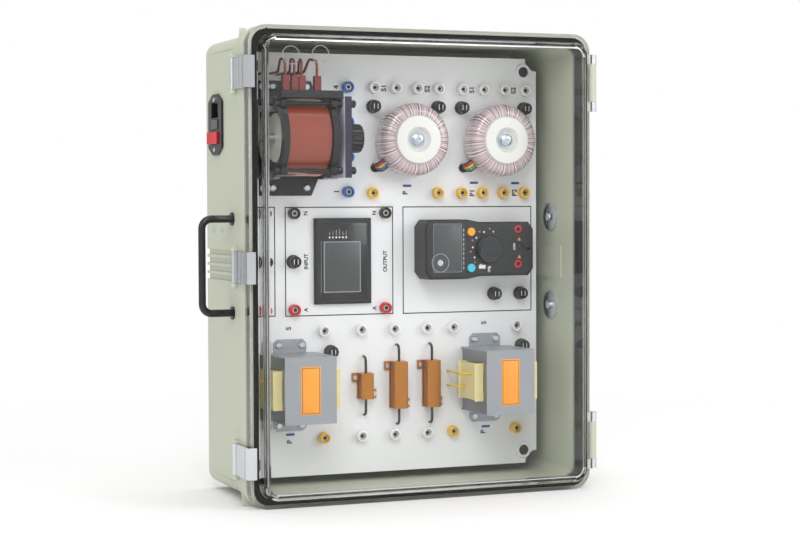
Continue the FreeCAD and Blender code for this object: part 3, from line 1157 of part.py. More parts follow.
def make_multimeter():
    """A hand-held meter lying on its side on the panel."""
    low, high = "(meter_x - meter_long / 2)", "(meter_x + meter_long / 2)"
    waist = "meter_high / 2 - 3"
    half = "meter_high / 2"
    outline = [(f"{low} + 6", f"meter_z - {half}"), (f"{low} + 50", f"meter_z - {half}"),
               (f"{low} + 66", f"meter_z - ({waist})"), (f"{high} - 6", f"meter_z - ({waist})"),
               (high, f"meter_z - ({waist}) + 8"), (high, f"meter_z + ({waist}) - 8"),
               (f"{high} - 6", f"meter_z + ({waist})"), (f"{low} + 66", f"meter_z + ({waist})"),
               (f"{low} + 50", f"meter_z + {half}"), (f"{low} + 6", f"meter_z + {half}"),
               (low, f"meter_z + {half} - 8"), (low, f"meter_z - {half} + 8")]
    shell = padded("meter_shell", "XZ_Plane", outline, f"{PANEL} - meter_thick", "meter_thick")
    top = panel_y - mm.meter_thick
    shell = soften("meter_rounded", shell, 3,
                   lambda edge: abs(edge.BoundBox.YMax - top) < 0.01)
    face = f"{PANEL} - meter_thick"
    window = block("lcd_window", ("24", "2", "44"), (f"{low} + 14", f"{face} - 1", "meter_z - 22"))
    cuts = [window]
    for i, (dx, dz) in enumerate(BUTTONS):
        cuts.append(rod(f"button_hole_{i}", "button_radius + fit_gap", "4",
                        (f"{low} + {dx}", f"{face} - 1", f"meter_z + {dz}"), "Y"))
    for i, (dx, dz) in enumerate(((104, 19), (116, 0), (104, -19))):
        cuts.append(rod(f"jack_{i}", "meter_jack", "12",
                        (f"{low} + {dx + 8}", f"{face} - 1", f"meter_z + {dz}"), "Y", 12))
    cuts.append(rod("dial_spigot_hole", "4 + pin_play", "8",
                    (f"{low} + {DIAL_X}", f"{face} - 1", "meter_z"), "Y"))
    node("multimeter_case", cut("meter_case", shell, *cuts))
    disc = turned("dial_disc", [("0", "-6"), ("4", "-6"), ("4", "cap_gap"),
                                ("dial_radius", "cap_gap"), ("dial_radius", "dial_rise - 1"),
                                ("dial_radius - 1", "dial_rise"), ("0", "dial_rise")],
                  (f"{low} + {DIAL_X}", face, "meter_z"), "-Y")
    grip = block("dial_grip", ("2 * dial_radius - 4", "3", "6"),
                 (f"{low} + {DIAL_X} - dial_radius + 2", f"{face} - dial_rise - 2", "meter_z - 3"))
    node("multimeter_dial", fuse("dial", disc, grip))
    for name, (dx, dz) in zip(("select_button", "hold_button"), BUTTONS):
        node(name, rod(f"{name}_cap", "button_radius", "button_rise + 1.5",
                       (f"{low} + {dx}", f"{face} - button_rise", f"meter_z + {dz}"), "Y"))


BUTTONS = ((54, 19.5), (54, -20.5))
DIAL_X = 76


def make_fixings():
    """Pan-head screws of the bracket, frames and side wall, and the handles' washers."""
    spots = [on_panel(x, z, mm.variac_base) for x, z in variac_screws()]
    spots += [on_panel(x, z, mm.frame_sheet) for x, z in ear_screws()]
    screws = []
    for spot in spots:
        screw = pan_screw(mm.screw_shank, 4, 2.6, mm.panel_thick)
        screw.translate(spot)
        screws.append(screw)
    for depth in (mm.side_screw_front, mm.side_screw_back):
        screw = side_screw(mm.inlet_screw, 2.6, 1.6, mm.body_wall)
        screw.translate(V(-side_x, front + depth, mm.side_screw_z))
        screws.append(screw)
    for side in (-1, 1):
        inner = side * (side_x - mm.body_wall)
        for row in (-1, 1):
            seat = V(inner, front + mm.box_depth / 2, mid_z + row * mm.handle_spacing / 2)
            inward = V(-side, 0, 0)
            disc = peg(mm.washer_radius, mm.washer_thick, seat, inward, 24)
            head = peg(4.5, 3, seat + inward * mm.washer_thick, inward, 12)
            stem = peg(mm.handle_screw, mm.body_wall, seat, -inward, 8)
            screws.append(disc.fuse([head, stem]).removeSplitter())
    node("screws_and_washers", solid("fixings_zinc", Part.Compound(
        [s for screw in screws for s in screw.Solids])))


def finish():
    """Check every object, then write one file per node."""
    doc.recompute()
    faults = [item.Name for item in doc.Objects
              if any(word in ("Invalid", "Error") for word in item.State)]
    assert not faults, faults
    for name, item in nodes.items():
        shape = item.Shape
        assert not shape.isNull() and shape.isValid() and shape.Volume > 0, name
    os.makedirs("parts", exist_ok=True)
    for name, item in nodes.items():
        item.Shape.exportStep(f"parts/{name}.step")
    print(len(nodes), "nodes")


for make in (make_body, make_feet, make_door, make_pins, make_latches, make_handles,
             make_panel, make_sockets, make_fuses, make_inlet, make_variac, make_toroids,
             make_laminated, make_resistors, make_power_meter, make_multimeter, make_fixings):
    make()
finish()
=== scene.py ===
"""Looks of a transformer training case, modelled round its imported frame."""

import json
from math import atan2, cos, radians, sin

import bpy
from bpy.props import FloatProperty, FloatVectorProperty, PointerProperty
from mathutils import Euler, Matrix, Vector

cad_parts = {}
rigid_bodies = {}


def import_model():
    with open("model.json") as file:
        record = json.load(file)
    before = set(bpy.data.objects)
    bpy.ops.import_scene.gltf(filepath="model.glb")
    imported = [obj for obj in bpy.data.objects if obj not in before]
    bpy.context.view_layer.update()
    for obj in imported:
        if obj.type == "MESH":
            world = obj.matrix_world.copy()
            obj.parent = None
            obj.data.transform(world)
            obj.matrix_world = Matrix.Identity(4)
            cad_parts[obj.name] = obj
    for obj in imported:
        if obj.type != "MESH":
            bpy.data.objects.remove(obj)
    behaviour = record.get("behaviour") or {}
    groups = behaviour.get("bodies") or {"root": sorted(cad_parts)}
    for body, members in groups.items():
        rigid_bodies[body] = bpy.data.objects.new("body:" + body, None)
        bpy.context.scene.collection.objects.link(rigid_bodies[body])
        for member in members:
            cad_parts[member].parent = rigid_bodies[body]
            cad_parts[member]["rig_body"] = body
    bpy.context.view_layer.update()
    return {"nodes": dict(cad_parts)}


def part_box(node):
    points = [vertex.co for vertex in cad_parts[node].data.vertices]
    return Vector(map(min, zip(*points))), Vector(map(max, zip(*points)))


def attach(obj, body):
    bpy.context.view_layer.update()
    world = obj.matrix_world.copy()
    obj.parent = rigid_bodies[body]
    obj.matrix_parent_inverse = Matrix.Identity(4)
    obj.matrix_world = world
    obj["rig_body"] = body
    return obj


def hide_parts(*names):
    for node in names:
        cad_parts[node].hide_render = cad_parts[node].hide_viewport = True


bl_info = {
    "name": "Transformer training case",
    "version": (1, 0, 0),
    "blender": (4, 5, 0),
    "location": "3D View > Sidebar > Training Case",
    "description": "Models the finish of a transformer training case round its packed frame",
    "category": "Object",
}

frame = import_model()
HOME = {node: obj["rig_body"] for node, obj in frame["nodes"].items()}
MM = 0.001

# Places on the panel, in millimetres
PANEL_FRONT = 15.5
QUARTET = (-38.55, -12.85, 12.85, 38.55)
TOROID_X = (15, 121)
TOROID_Z = 385.5
LAMINATED_X = (-122.3, 109.8)
LAMINATED_Z = 119
METER_POSTS = (-150, -117.3, -11.3)
TOP_ROW = 443
YELLOW_ROW = 327.4
WHITE_ROW = 177
BOTTOM_ROW = 60
BLUE_COLUMN = -54.6
VARIAC_Y = -31.5
VARIAC_Z = 385.5
MULTIMETER_Z = 264.7
DIAL_X = 100.5
MULTIMETER_FACE = -18.5
POWER_METER = (-61.3, 253)
POWER_METER_RISE = 6
FIXING_X = 158
FIXING_Z = (34, 464)
SOCKET_PLACES = {
    "blue": [(BLUE_COLUMN, z) for z in (443, 404.9, 366.8, 328.7)],
    "white": [(x - 0.4 + dx, TOP_ROW) for x in TOROID_X for dx in QUARTET]
    + [(x, WHITE_ROW) for x in (-84, -40.5, -1.5, 37.5, 69.5, 147.5)]
    + [(x, BOTTOM_ROW) for x in (-40.5, -1.5, 37.5)],
    "yellow": [(13 + side * 39, YELLOW_ROW) for side in (-1, 1)]
    + [(119.5 + dx, YELLOW_ROW) for dx in QUARTET]
    + [(x, BOTTOM_ROW) for x in (-84, 69.5, 147.5)],
    "black": [(x, 305.4) for x in METER_POSTS],
    "red": [(x, 200.6) for x in METER_POSTS],
}
LETTERS = (
    ("4", -67, 443), ("1", -67, 329), ("S1", -11, 443), ("S2", 41, 443),
    ("S1", 95.4, 443), ("S2", 147, 443), ("P", 14, 327.4), ("P1", 95.4, 327.4),
    ("P2", 148, 327.4), ("S", -123, 180.5), ("S", 109.4, 180.5), ("P", -122.7, 57),
    ("P", 108.2, 57), ("N", -102.9, 305.4), ("N", -23, 305.4), ("A", -103, 200.4),
    ("A", -23, 200.4), ("INPUT", -102.6, 253), ("OUTPUT", -10.2, 252),
)
METER_WORDS = ("N", "A", "INPUT", "OUTPUT")
PRINTED_FRAMES = ((-175, -138, 193.8, 312.7), (-127, -0.8, 193.3, 312.5),
                  (10.5, 169, 193, 312.4))
ROUNDELS = ((-156.4, 467.5), (-124.3, 468.8))
PRINT_THICK = 0.08
BLUE_DASHES = ((16.2, 335.3), (97.5, 338.7), (148.7, 338.3), (-122, 65), (111.3, 63))

# The multimeter's details: x on the panel, and height from the meter's middle
LCD_X = (34.5, 66.5)
LCD_Z = (-24, 27.5)
BACKLIGHT = (41.5, -14.6)
JACKS = (("upper", 136, 22, "socket_red"), ("lower", 136, -17, "socket_red"),
         ("common", 138.6, 2.4, "gloss_black"))

# Offsets from the middle of the power meter and of a toroid
POWER_SCREEN = (-23.3, 19.7, -34.2, 21.6)
DOT_PITCH = 3.85
RUNG_PITCH = 2.7
GROMMET = (-37.3, -30.2)

# Distances out from the panel's front
DISH_FLOOR = 33
WASHER_TOP = 34.5
LAMINATED_RISE = 70

# The viewpoint, in metres, radians and millimetres of lens and sensor
CAMERA_PLACE = (-0.777414, -1.930805, 0.317145)
CAMERA_YAW, CAMERA_PITCH, CAMERA_ROLL = 0.38345, -0.034, -0.00384
CAMERA_LENS, SENSOR = 85.116, 36

# Name, place, size in metres and power in watts
LAMPS = (("key", (-1.1, -2.6, 2.3), 1.4, 38), ("fill", (2.2, -2.2, 1.4), 1.6, 26),
         ("top", (0.2, 0.2, 2.8), 2.0, 26), ("low", (-2.4, -0.6, 0.9), 1.0, 6))

UPRIGHT = Matrix(((1, 0, 0), (0, 0, -1), (0, 1, 0)))
READING_UP = Matrix(((0, -1, 0), (0, 0, -1), (1, 0, 0)))
FINISH = {}


def tint(red, green, blue):
    """A screen colour from 0 to 255 as a linear colour."""
    linear = []
    for level in (red, green, blue):
        share = level / 255
        linear.append(share / 12.92 if share < 0.04 else ((share + 0.055) / 1.055) ** 2.4)
    return linear


def colour_property(label, use, *screen):
    return FloatVectorProperty(name=label, description=use, subtype="COLOR", size=3, min=0, max=1,
                               default=tint(*screen))


def length_property(label, use, size):
    return FloatProperty(name=label, description=use, default=size * MM, min=0.0001,
                         unit="LENGTH", subtype="DISTANCE")


class CaseColours(bpy.types.PropertyGroup):
    case: colour_property("Case", "Moulded body of the case", 192, 196, 177)
    panel: colour_property("Panel", "Board that carries the instruments", 236, 236, 237)
    winding: colour_property("Winding", "Varnished wire of the variable transformer", 158, 58, 22)
    # The tape's two colours are painted light and shade: the lighter one is a painted highlight on
    # the lit folds, and the darker one is painted shade in the hollows.
    tape_painted_light: colour_property("Tape folds", "Lit folds of the toroids' tape", 244, 230, 232)
    tape_painted_shade: colour_property("Tape hollows", "Hollows of the toroids' tape", 112, 70, 80)
    blue: colour_property("Blue sockets", "Sockets of the variable transformer", 26, 102, 190)
    yellow: colour_property("Yellow sockets", "Primary sockets", 244, 192, 40)
    red: colour_property("Red sockets", "Line sockets of the meter", 206, 28, 36)
    anodised: colour_property("Resistors", "Anodised resistor housings", 184, 118, 44)
    label: colour_property("Labels", "Bare labels of the laminated transformers", 244, 156, 40)


class CaseSizes(bpy.types.PropertyGroup):
    socket_radius: length_property("Socket radius", "Outside radius of a socket head", 6.25)
    socket_rise: length_property("Socket rise", "How far a socket stands off the panel", 8)
    bore_radius: length_property("Bore radius", "Radius of a socket's shrouded bore", 3.9)
    toroid_radius: length_property("Toroid radius", "Outside radius of a toroid", 40.5)
    fold_depth: length_property("Fold depth", "Depth of the tape's folds on a toroid", 0.7)
    line_width: length_property("Line width", "Width of the printed lines", 1.2)
    letter_height: length_property("Letter height", "Size of the printed letters", 8.0)


def colours():
    return bpy.context.scene.case_colours


def sizes():
    return bpy.context.scene.case_sizes


# Finishes

def new_group(name, inputs):
    """A shader group that gives a colour, a roughness and a normal."""
    tree = bpy.data.node_groups.new(name, "ShaderNodeTree")
    for label, kind in inputs:
        tree.interface.new_socket(label, in_out="INPUT", socket_type="NodeSocket" + kind)
    for label, kind in (("Colour", "Color"), ("Roughness", "Float"), ("Normal", "Vector")):
        tree.interface.new_socket(label, in_out="OUTPUT", socket_type="NodeSocket" + kind)
    return tree, tree.nodes.new("NodeGroupInput"), tree.nodes.new("NodeGroupOutput")


def reckon(tree, operation, *values):
    """A math node whose inputs are sockets or numbers."""
    node = tree.nodes.new("ShaderNodeMath")
    node.operation = operation
    for socket, value in zip(node.inputs, values):
        if isinstance(value, bpy.types.NodeSocket):
            tree.links.new(value, socket)
        else:
            socket.default_value = value
    return node.outputs[0]


def swing(tree, value, amount, middle):
    """Spreads a noise value by amount round middle."""
    offset = reckon(tree, "MULTIPLY", reckon(tree, "SUBTRACT", value, 0.5), amount)
    return reckon(tree, "ADD", offset, middle)


def dent(tree, height, strength):
    bump = tree.nodes.new("ShaderNodeBump")
    bump.inputs["Distance"].default_value = 0.0005
    tree.links.new(strength, bump.inputs["Strength"])
    tree.links.new(height, bump.inputs["Height"])
    return bump.outputs["Normal"]


def grain_group():
    """Mottled colour, uneven gloss and a fine grain."""
    tree, start, end = new_group("surface_grain", (
        ("Vector", "Vector"), ("Colour", "Color"), ("Scale", "Float"), ("Mottle", "Float"),
        ("Roughness", "Float"), ("Spread", "Float"), ("Depth", "Float")))
    broad = tree.nodes.new("ShaderNodeTexNoise")
    fine = tree.nodes.new("ShaderNodeTexNoise")
    tone = tree.nodes.new("ShaderNodeHueSaturation")
    broad.inputs["Detail"].default_value = 5
    links = tree.links
    for noise in (broad, fine):
        links.new(start.outputs["Vector"], noise.inputs["Vector"])
    links.new(start.outputs["Scale"], broad.inputs["Scale"])
    links.new(reckon(tree, "MULTIPLY", start.outputs["Scale"], 14), fine.inputs["Scale"])
    links.new(start.outputs["Colour"], tone.inputs["Color"])
    links.new(swing(tree, broad.outputs[0], start.outputs["Mottle"], 1), tone.inputs["Value"])
    rough = swing(tree, broad.outputs[0], start.outputs["Spread"], start.outputs["Roughness"])
    links.new(tone.outputs[0], end.inputs["Colour"])
    links.new(rough, end.inputs["Roughness"])
    links.new(dent(tree, fine.outputs[0], start.outputs["Depth"]), end.inputs["Normal"])
    return tree


def streak_group():
    """Streaks that run outwards from an axis, for tape folds and laid wire. On the toroids' tape the
    light streaks are painted highlights on the folds and the dark ones are painted shade in their
    hollows.
    """
    tree, start, end = new_group("round_streaks", (
        ("Vector", "Vector"), ("Dark", "Color"), ("Light", "Color"), ("Count", "Float"),
        ("Roughness", "Float"), ("Spread", "Float"), ("Depth", "Float")))
    turn = tree.nodes.new("ShaderNodeTexGradient")
    turn.gradient_type = "RADIAL"
    noise = tree.nodes.new("ShaderNodeTexNoise")
    noise.noise_dimensions = "1D"
    noise.inputs["Detail"].default_value = 3
    mix = tree.nodes.new("ShaderNodeMix")
    mix.data_type = "RGBA"
    sharp = tree.nodes.new("ShaderNodeMapRange")
    sharp.inputs["From Min"].default_value = 0.3
    sharp.inputs["From Max"].default_value = 0.7
    links = tree.links
    links.new(start.outputs["Vector"], turn.inputs["Vector"])
    links.new(reckon(tree, "MULTIPLY", turn.outputs["Fac"], start.outputs["Count"]),
              noise.inputs["W"])
    noise.inputs["Scale"].default_value = 1
    links.new(noise.outputs[0], sharp.inputs["Value"])
    links.new(sharp.outputs[0], mix.inputs["Factor"])
    for socket in mix.inputs:
        if socket.type == "RGBA" and socket.name in ("A", "B"):
            source = start.outputs["Dark" if socket.name == "A" else "Light"]
            links.new(source, socket)
    coloured = [s for s in mix.outputs if s.type == "RGBA"][0]
    links.new(coloured, end.inputs["Colour"])
    rough = swing(tree, noise.outputs[0], start.outputs["Spread"], start.outputs["Roughness"])
    links.new(rough, end.inputs["Roughness"])
    links.new(dent(tree, noise.outputs[0], start.outputs["Depth"]), end.inputs["Normal"])
    return tree


def dressed_shader(name, group, values, metal=0.0, coat=0.0, place=None):
    """A material whose shader takes colour, roughness and normal from a group."""
    material = bpy.data.materials.new(name)
    material.use_nodes = True
    nodes, links = material.node_tree.nodes, material.node_tree.links
    shader = nodes["Principled BSDF"]
    shader.inputs["Metallic"].default_value = metal
    shader.inputs["Coat Weight"].default_value = coat
    where = nodes.new("ShaderNodeTexCoord")
    mapping = nodes.new("ShaderNodeMapping")
    effect = nodes.new("ShaderNodeGroup")
    effect.node_tree = group
    for label, value in (place or {}).items():
        mapping.inputs[label].default_value = value
    for label, value in values.items():
        effect.inputs[label].default_value = value
    links.new(where.outputs["Object"], mapping.inputs["Vector"])
    links.new(mapping.outputs["Vector"], effect.inputs["Vector"])
    links.new(effect.outputs["Colour"], shader.inputs["Base Color"])
    links.new(effect.outputs["Roughness"], shader.inputs["Roughness"])
    links.new(effect.outputs["Normal"], shader.inputs["Normal"])
    return material


def grained(name, colour, rough=0.42, metal=0.0, mottle=0.1, scale=45, depth=0.12, spread=0.12,
            coat=0.0, stretch=(1, 1, 1)):
    """Adds a plastic, rubber, paint or metal with its own grain."""
    values = {"Colour": (*colour, 1), "Scale": scale, "Mottle": mottle, "Roughness": rough,
              "Spread": spread, "Depth": depth}
    FINISH[name] = dressed_shader(name, bpy.data.node_groups["surface_grain"], values, metal,
                                  coat, {"Scale": stretch})
    return FINISH[name]


def streaked(name, dark, light, centre, axis, count, rough, depth, coat=0.6, metal=0.0):
    """Adds a finish whose streaks run out from an axis along X or Y through centre."""
    turn = Euler((radians(90), 0, 0)) if axis == "Y" else Euler((0, radians(90), 0))
    shift = -(turn.to_matrix() @ (Vector(centre) * MM))
    values = {"Dark": (*dark, 1), "Light": (*light, 1), "Count": count, "Roughness": rough,
              "Spread": 0.12, "Depth": depth}
    FINISH[name] = dressed_shader(name, bpy.data.node_groups["round_streaks"], values, metal,
                                  coat, {"Rotation": turn, "Location": shift})
    return FINISH[name]


def clear_plastic():
    """Clear moulding that lets the lamps through to what stands behind it."""
    values = {"Colour": (0.97, 0.985, 0.99, 1), "Scale": 12, "Mottle": 0.03, "Roughness": 0.02,
              "Spread": 0.02, "Depth": 0.01}
    material = dressed_shader("clear_plastic", bpy.data.node_groups["surface_grain"], values)
    nodes, links = material.node_tree.nodes, material.node_tree.links
    shader = nodes["Principled BSDF"]
    shader.inputs["Transmission Weight"].default_value = 1
    shader.inputs["IOR"].default_value = 1.3
    # The tint darkens where the view grazes the moulding: painted shade along the door's edges and
    # side walls.
    grazing_shade = nodes.new("ShaderNodeLayerWeight")
    grazing_shade.inputs["Blend"].default_value = 0.35
    tone = nodes.new("ShaderNodeHueSaturation")
    links.new(reckon(material.node_tree, "MULTIPLY_ADD", grazing_shade.outputs["Facing"], -0.6, 1),
              tone.inputs["Value"])
    links.new(shader.inputs["Base Color"].links[0].from_socket, tone.inputs["Color"])
    links.new(tone.outputs[0], shader.inputs["Base Color"])
    open_air = nodes.new("ShaderNodeBsdfTransparent")
    path = nodes.new("ShaderNodeLightPath")
    mix = nodes.new("ShaderNodeMixShader")
    blocked = reckon(material.node_tree, "MAXIMUM", path.outputs["Is Shadow Ray"],
                     path.outputs["Is Diffuse Ray"])
    links.new(blocked, mix.inputs[0])
    links.new(shader.outputs[0], mix.inputs[1])
    links.new(open_air.outputs[0], mix.inputs[2])
    links.new(mix.outputs[0], nodes["Material Output"].inputs["Surface"])
    FINISH["clear_plastic"] = material


def mix_finishes():
    grain_group()
    streak_group()
    paint = colours()
    steel = tint(198, 202, 208)
    brushed = {"metal": 1.0, "mottle": 0.18, "spread": 0.16, "scale": 60}
    grained("case_plastic", paint.case, 0.5, scale=30, mottle=0.05, depth=0.2)
    grained("black_rubber", tint(18, 18, 20), 0.75, scale=80, depth=0.3)
    grained("stainless", tint(214, 216, 220), 0.24, stretch=(1, 1, 0.05), **brushed)
    grained("black_paint", tint(16, 16, 18), 0.34, scale=90, depth=0.35, coat=0.2)
    grained("zinc_steel", tint(205, 212, 220), 0.3, **brushed)
    grained("white_panel", paint.panel, 0.42, scale=25, mottle=0.03, depth=0.06)
    grained("black_plastic", tint(20, 20, 22), 0.36, scale=70, depth=0.2)
    grained("gloss_black", tint(12, 12, 14), 0.24, scale=40, depth=0.05, coat=0.25)
    grained("red_plastic", paint.red, 0.3, coat=0.3)
    grained("navy_plate", tint(30, 26, 54), 0.34, coat=0.2, depth=0.1)
    grained("lilac_paint", tint(206, 200, 220), 0.4)
    grained("core_steel", tint(118, 118, 124), 0.45, **brushed)
    grained("grey_metal", tint(186, 186, 182), 0.42, **brushed)
    grained("boot_brown", tint(112, 34, 30), 0.42, coat=0.2, mottle=0.3)
    grained("cream_plastic", tint(233, 231, 226), 0.4, mottle=0.04)
    grained("laminations", tint(140, 142, 148), 0.4, metal=1.0, mottle=0.5, scale=900,
            stretch=(1, 0.02, 0.02))
    grained("cover_grey", tint(158, 161, 166), 0.36, metal=0.6, mottle=0.08, scale=40)
    grained("bobbin_yellow", tint(236, 222, 160), 0.4, mottle=0.2, coat=0.3)
    grained("yellow_insulation", tint(238, 206, 60), 0.34, coat=0.3)
    grained("gold_anodised", paint.anodised, 0.34, metal=0.75, mottle=0.15, scale=120)
    grained("meter_black", tint(28, 28, 30), 0.48, scale=110, depth=0.3)
    grained("dial_black", tint(32, 32, 34), 0.4, scale=90, depth=0.2)
    grained("screen_grey", tint(70, 71, 72), 0.35, depth=0.02, coat=0.1, mottle=0.06)
    grained("orange_plastic", tint(243, 158, 24), 0.36, coat=0.2)
    grained("hold_blue", tint(52, 190, 216), 0.36, coat=0.2)
    grained("brass", tint(232, 222, 200), 0.3, **brushed)
    grained("steel", steel, 0.26, **brushed)
    # Black for print, and for painted shade in the socket and jack holes.
    grained("ink_and_shade_black", tint(24, 24, 26), 0.5, mottle=0.2)
    grained("ink_blue", tint(30, 62, 136), 0.5, mottle=0.2)
    grained("ink_white", tint(226, 226, 230), 0.5, mottle=0.1)
    grained("ink_grey", tint(150, 150, 154), 0.5, mottle=0.1)
    grained("ink_orange", tint(232, 130, 60), 0.5, mottle=0.1)
    grained("label_orange", paint.label, 0.4, mottle=0.12)
    grained("socket_white", tint(238, 238, 240), 0.3, coat=0.3, mottle=0.03)
    grained("socket_blue", paint.blue, 0.28, coat=0.3)
    grained("socket_yellow", paint.yellow, 0.3, coat=0.3)
    grained("socket_red", paint.red, 0.28, coat=0.3)
    grained("socket_black", tint(22, 22, 25), 0.3, coat=0.3)
    for name, screen in (("black", (30, 28, 30)), ("red", (200, 30, 50)), ("blue", (30, 110, 200)),
                         ("yellow", (246, 208, 40)), ("brown", (96, 48, 40)),
                         ("green", (70, 170, 90))):
        grained("lead_" + name, tint(*screen), 0.34, coat=0.3)
    # The toroids' tape streaks: painted highlights on the folds and painted shade in their hollows.
    for side, x in zip(("left", "right"), TOROID_X):
        streaked("mauve_tape_" + side, paint.tape_painted_shade, paint.tape_painted_light, (x, 0, TOROID_Z), "Y",
                 130, 0.2, 0.5, coat=1.0)
    dark = [level * 0.5 for level in paint.winding]
    streaked("copper", dark, paint.winding, (0, VARIAC_Y, VARIAC_Z), "X", 520, 0.15, 0.25,
             coat=1.0)
    clear_plastic()


# Modelling helpers

def only(obj):
    """Selects one object and makes it active."""
    bpy.ops.object.select_all(action="DESELECT")
    obj.select_set(True)
    bpy.context.view_layer.objects.active = obj
    return obj


def settle():
    """Puts the active object's place into its mesh."""
    bpy.ops.object.transform_apply(location=True, rotation=True, scale=True)
    return bpy.context.object


def modified(obj, kind, **settings):
    """Adds one modifier and applies it."""
    only(obj)
    modifier = obj.modifiers.new(kind.lower(), kind)
    for label, value in settings.items():
        setattr(modifier, label, value)
    bpy.ops.object.modifier_apply(modifier=modifier.name)
    return obj


def smooth(obj, angle=35):
    only(obj)
    bpy.ops.object.shade_smooth_by_angle(angle=radians(angle))
    return obj


def finished(obj, name, material, body="root", slot=None, *nodes):
    """Names a piece, paints it and lets it ride on its body."""
    obj.name = name
    obj.data.name = name
    obj.data.materials.clear()
    obj.data.materials.append(FINISH[material])
    for face in obj.data.polygons:
        face.material_index = 0
    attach(obj, body)
    if nodes:
        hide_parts(*nodes)
    return obj


def refined(node, material, slot=None, angle=30, bevel=0.0):
    """A node's shape with merged corners, a broken edge and smooth curves."""
    obj = bpy.data.objects.new("fine_" + node, frame["nodes"][node].data.copy())
    bpy.context.scene.collection.objects.link(obj)
    only(obj)
    bpy.ops.object.mode_set(mode="EDIT")
    bpy.ops.mesh.select_all(action="SELECT")
    bpy.ops.mesh.remove_doubles(threshold=0.002 * MM)
    bpy.ops.mesh.dissolve_limited(angle_limit=radians(0.5))
    bpy.ops.object.mode_set(mode="OBJECT")
    if bevel:
        modified(obj, "BEVEL", width=bevel * MM, segments=2, limit_method="ANGLE",
                 angle_limit=radians(40))
    smooth(obj, angle)
    modified(obj, "WEIGHTED_NORMAL", keep_sharp=True)
    return finished(obj, "fine_" + node, material, HOME[node], slot, node)


def block(low, high, bevel=0.6, segments=3):
    """A box between two corners, in millimetres, with its edges rounded."""
    low, high = Vector(low) * MM, Vector(high) * MM
    bpy.ops.object.select_all(action="DESELECT")
    bpy.ops.mesh.primitive_cube_add(size=1, location=(low + high) / 2)
    bpy.context.object.scale = high - low
    obj = settle()
    modified(obj, "BEVEL", width=bevel * MM, segments=segments)
    return smooth(obj)


def turned(profile, at=(0, 0, 0), along="-Y", steps=40, ring=False):
    """Extrudes and scales a circle through a profile of (radius, rise) in millimetres."""
    bpy.ops.object.select_all(action="DESELECT")
    radius, rise = profile[0]
    bpy.ops.mesh.primitive_circle_add(vertices=steps, radius=radius * MM,
                                      location=(0, 0, rise * MM))
    bpy.ops.object.mode_set(mode="EDIT")
    bpy.ops.mesh.select_all(action="SELECT")
    for (wide, low), (next_wide, high) in zip(profile, profile[1:]):
        lift = (0, 0, (high - low) * MM)
        bpy.ops.mesh.extrude_region_move(TRANSFORM_OT_translate={"value": lift})
        share = max(next_wide, 0.001) / max(wide, 0.001)
        bpy.ops.transform.resize(value=(share, share, 1), center_override=(0, 0, high * MM))
    bpy.ops.mesh.select_all(action="SELECT")
    bpy.ops.mesh.remove_doubles(threshold=0.005 * MM)
    if not ring:
        bpy.ops.mesh.fill_holes(sides=0)
    bpy.ops.mesh.select_all(action="SELECT")
    bpy.ops.mesh.normals_make_consistent(inside=False)
    bpy.ops.object.mode_set(mode="OBJECT")
    obj = settle()
    turns = {"-Y": UPRIGHT, "X": Matrix(((0, 0, 1), (1, 0, 0), (0, 1, 0)))}
    obj.data.transform(turns[along].to_4x4())
    obj.data.transform(Matrix.Translation(Vector(at) * MM))
    return smooth(obj)


def copied(obj, shift):
    """A copy with its own mesh, moved by millimetres."""
    twin = obj.copy()
    twin.data = obj.data.copy()
    twin.data.transform(Matrix.Translation(Vector(shift) * MM))
    bpy.context.scene.collection.objects.link(twin)
    return twin


def joined(parts):
    only(parts[0])
    for part in parts[1:]:
        part.select_set(True)
    if len(parts) > 1:
        bpy.ops.object.join()
    return bpy.context.object


def spread(obj, places):
    """One piece made of copies at (x, z) places; the first one is moved there too."""
    parts = [copied(obj, (x, 0, z)) for x, z in places]
    bpy.data.objects.remove(obj)
    return joined(parts)


def lettering(words, x, z, height, rise, turn=READING_UP):
    """Flat printed words on a face that looks along -Y."""
    bpy.ops.object.select_all(action="DESELECT")
    bpy.ops.object.text_add(location=(0, 0, 0))
    text = bpy.context.object
    text.data.body = words
    text.data.size = height
    text.data.align_x = "CENTER"
    text.data.align_y = "CENTER"
    text.data.offset = height * 0.035
    text.data.extrude = 0.04 * MM
    bpy.ops.object.convert(target="MESH")
    obj = bpy.context.object
    place = Vector((x, rise - 0.03, z)) * MM
    obj.data.transform(Matrix.Translation(place) @ turn.to_4x4())
    return obj


def patch(x0, x1, z0, z1, face, thick=0.15, corner=0.5):
    """A thin plate lying on a face that looks along -Y."""
    return block((x0, face - thick, z0), (x1, face + 0.02, z1), min(corner, thick * 0.45), 2)


def outline(x0, x1, z0, z1, width, face):
    """A printed rectangle: a plate inset all round, with its middle taken out."""
    bpy.ops.object.select_all(action="DESELECT")
    bpy.ops.mesh.primitive_plane_add(size=1)
    bpy.context.object.scale = ((x1 - x0) * MM, (z1 - z0) * MM, 1)
    settle()
    bpy.ops.object.mode_set(mode="EDIT")
    bpy.ops.mesh.select_all(action="SELECT")
    bpy.ops.mesh.inset(thickness=width * MM)
    bpy.ops.mesh.delete(type="FACE")
    bpy.ops.mesh.select_all(action="SELECT")
    bpy.ops.mesh.extrude_region_move(TRANSFORM_OT_translate={"value": (0, 0, 0.06 * MM)})
    bpy.ops.object.mode_set(mode="OBJECT")
    obj = bpy.context.object
    place = Vector(((x0 + x1) / 2, face, (z0 + z1) / 2)) * MM
    obj.data.transform(Matrix.Translation(place) @ UPRIGHT.to_4x4())
    return obj


def rippled(obj, centre, axis, depth):
    """Moves a turned mesh's points out and in by a formula of the angle."""
    middle = Vector(centre) * MM
    for point in obj.data.vertices:
        arm = point.co - middle
        arm[axis] = 0
        if arm.length < 0.001:
            continue
        others = [i for i in range(3) if i != axis]
        angle = atan2(arm[others[1]], arm[others[0]])
        point.co += arm.normalized() * depth(angle, arm.length)
    obj.data.update()
    return obj


# Pieces

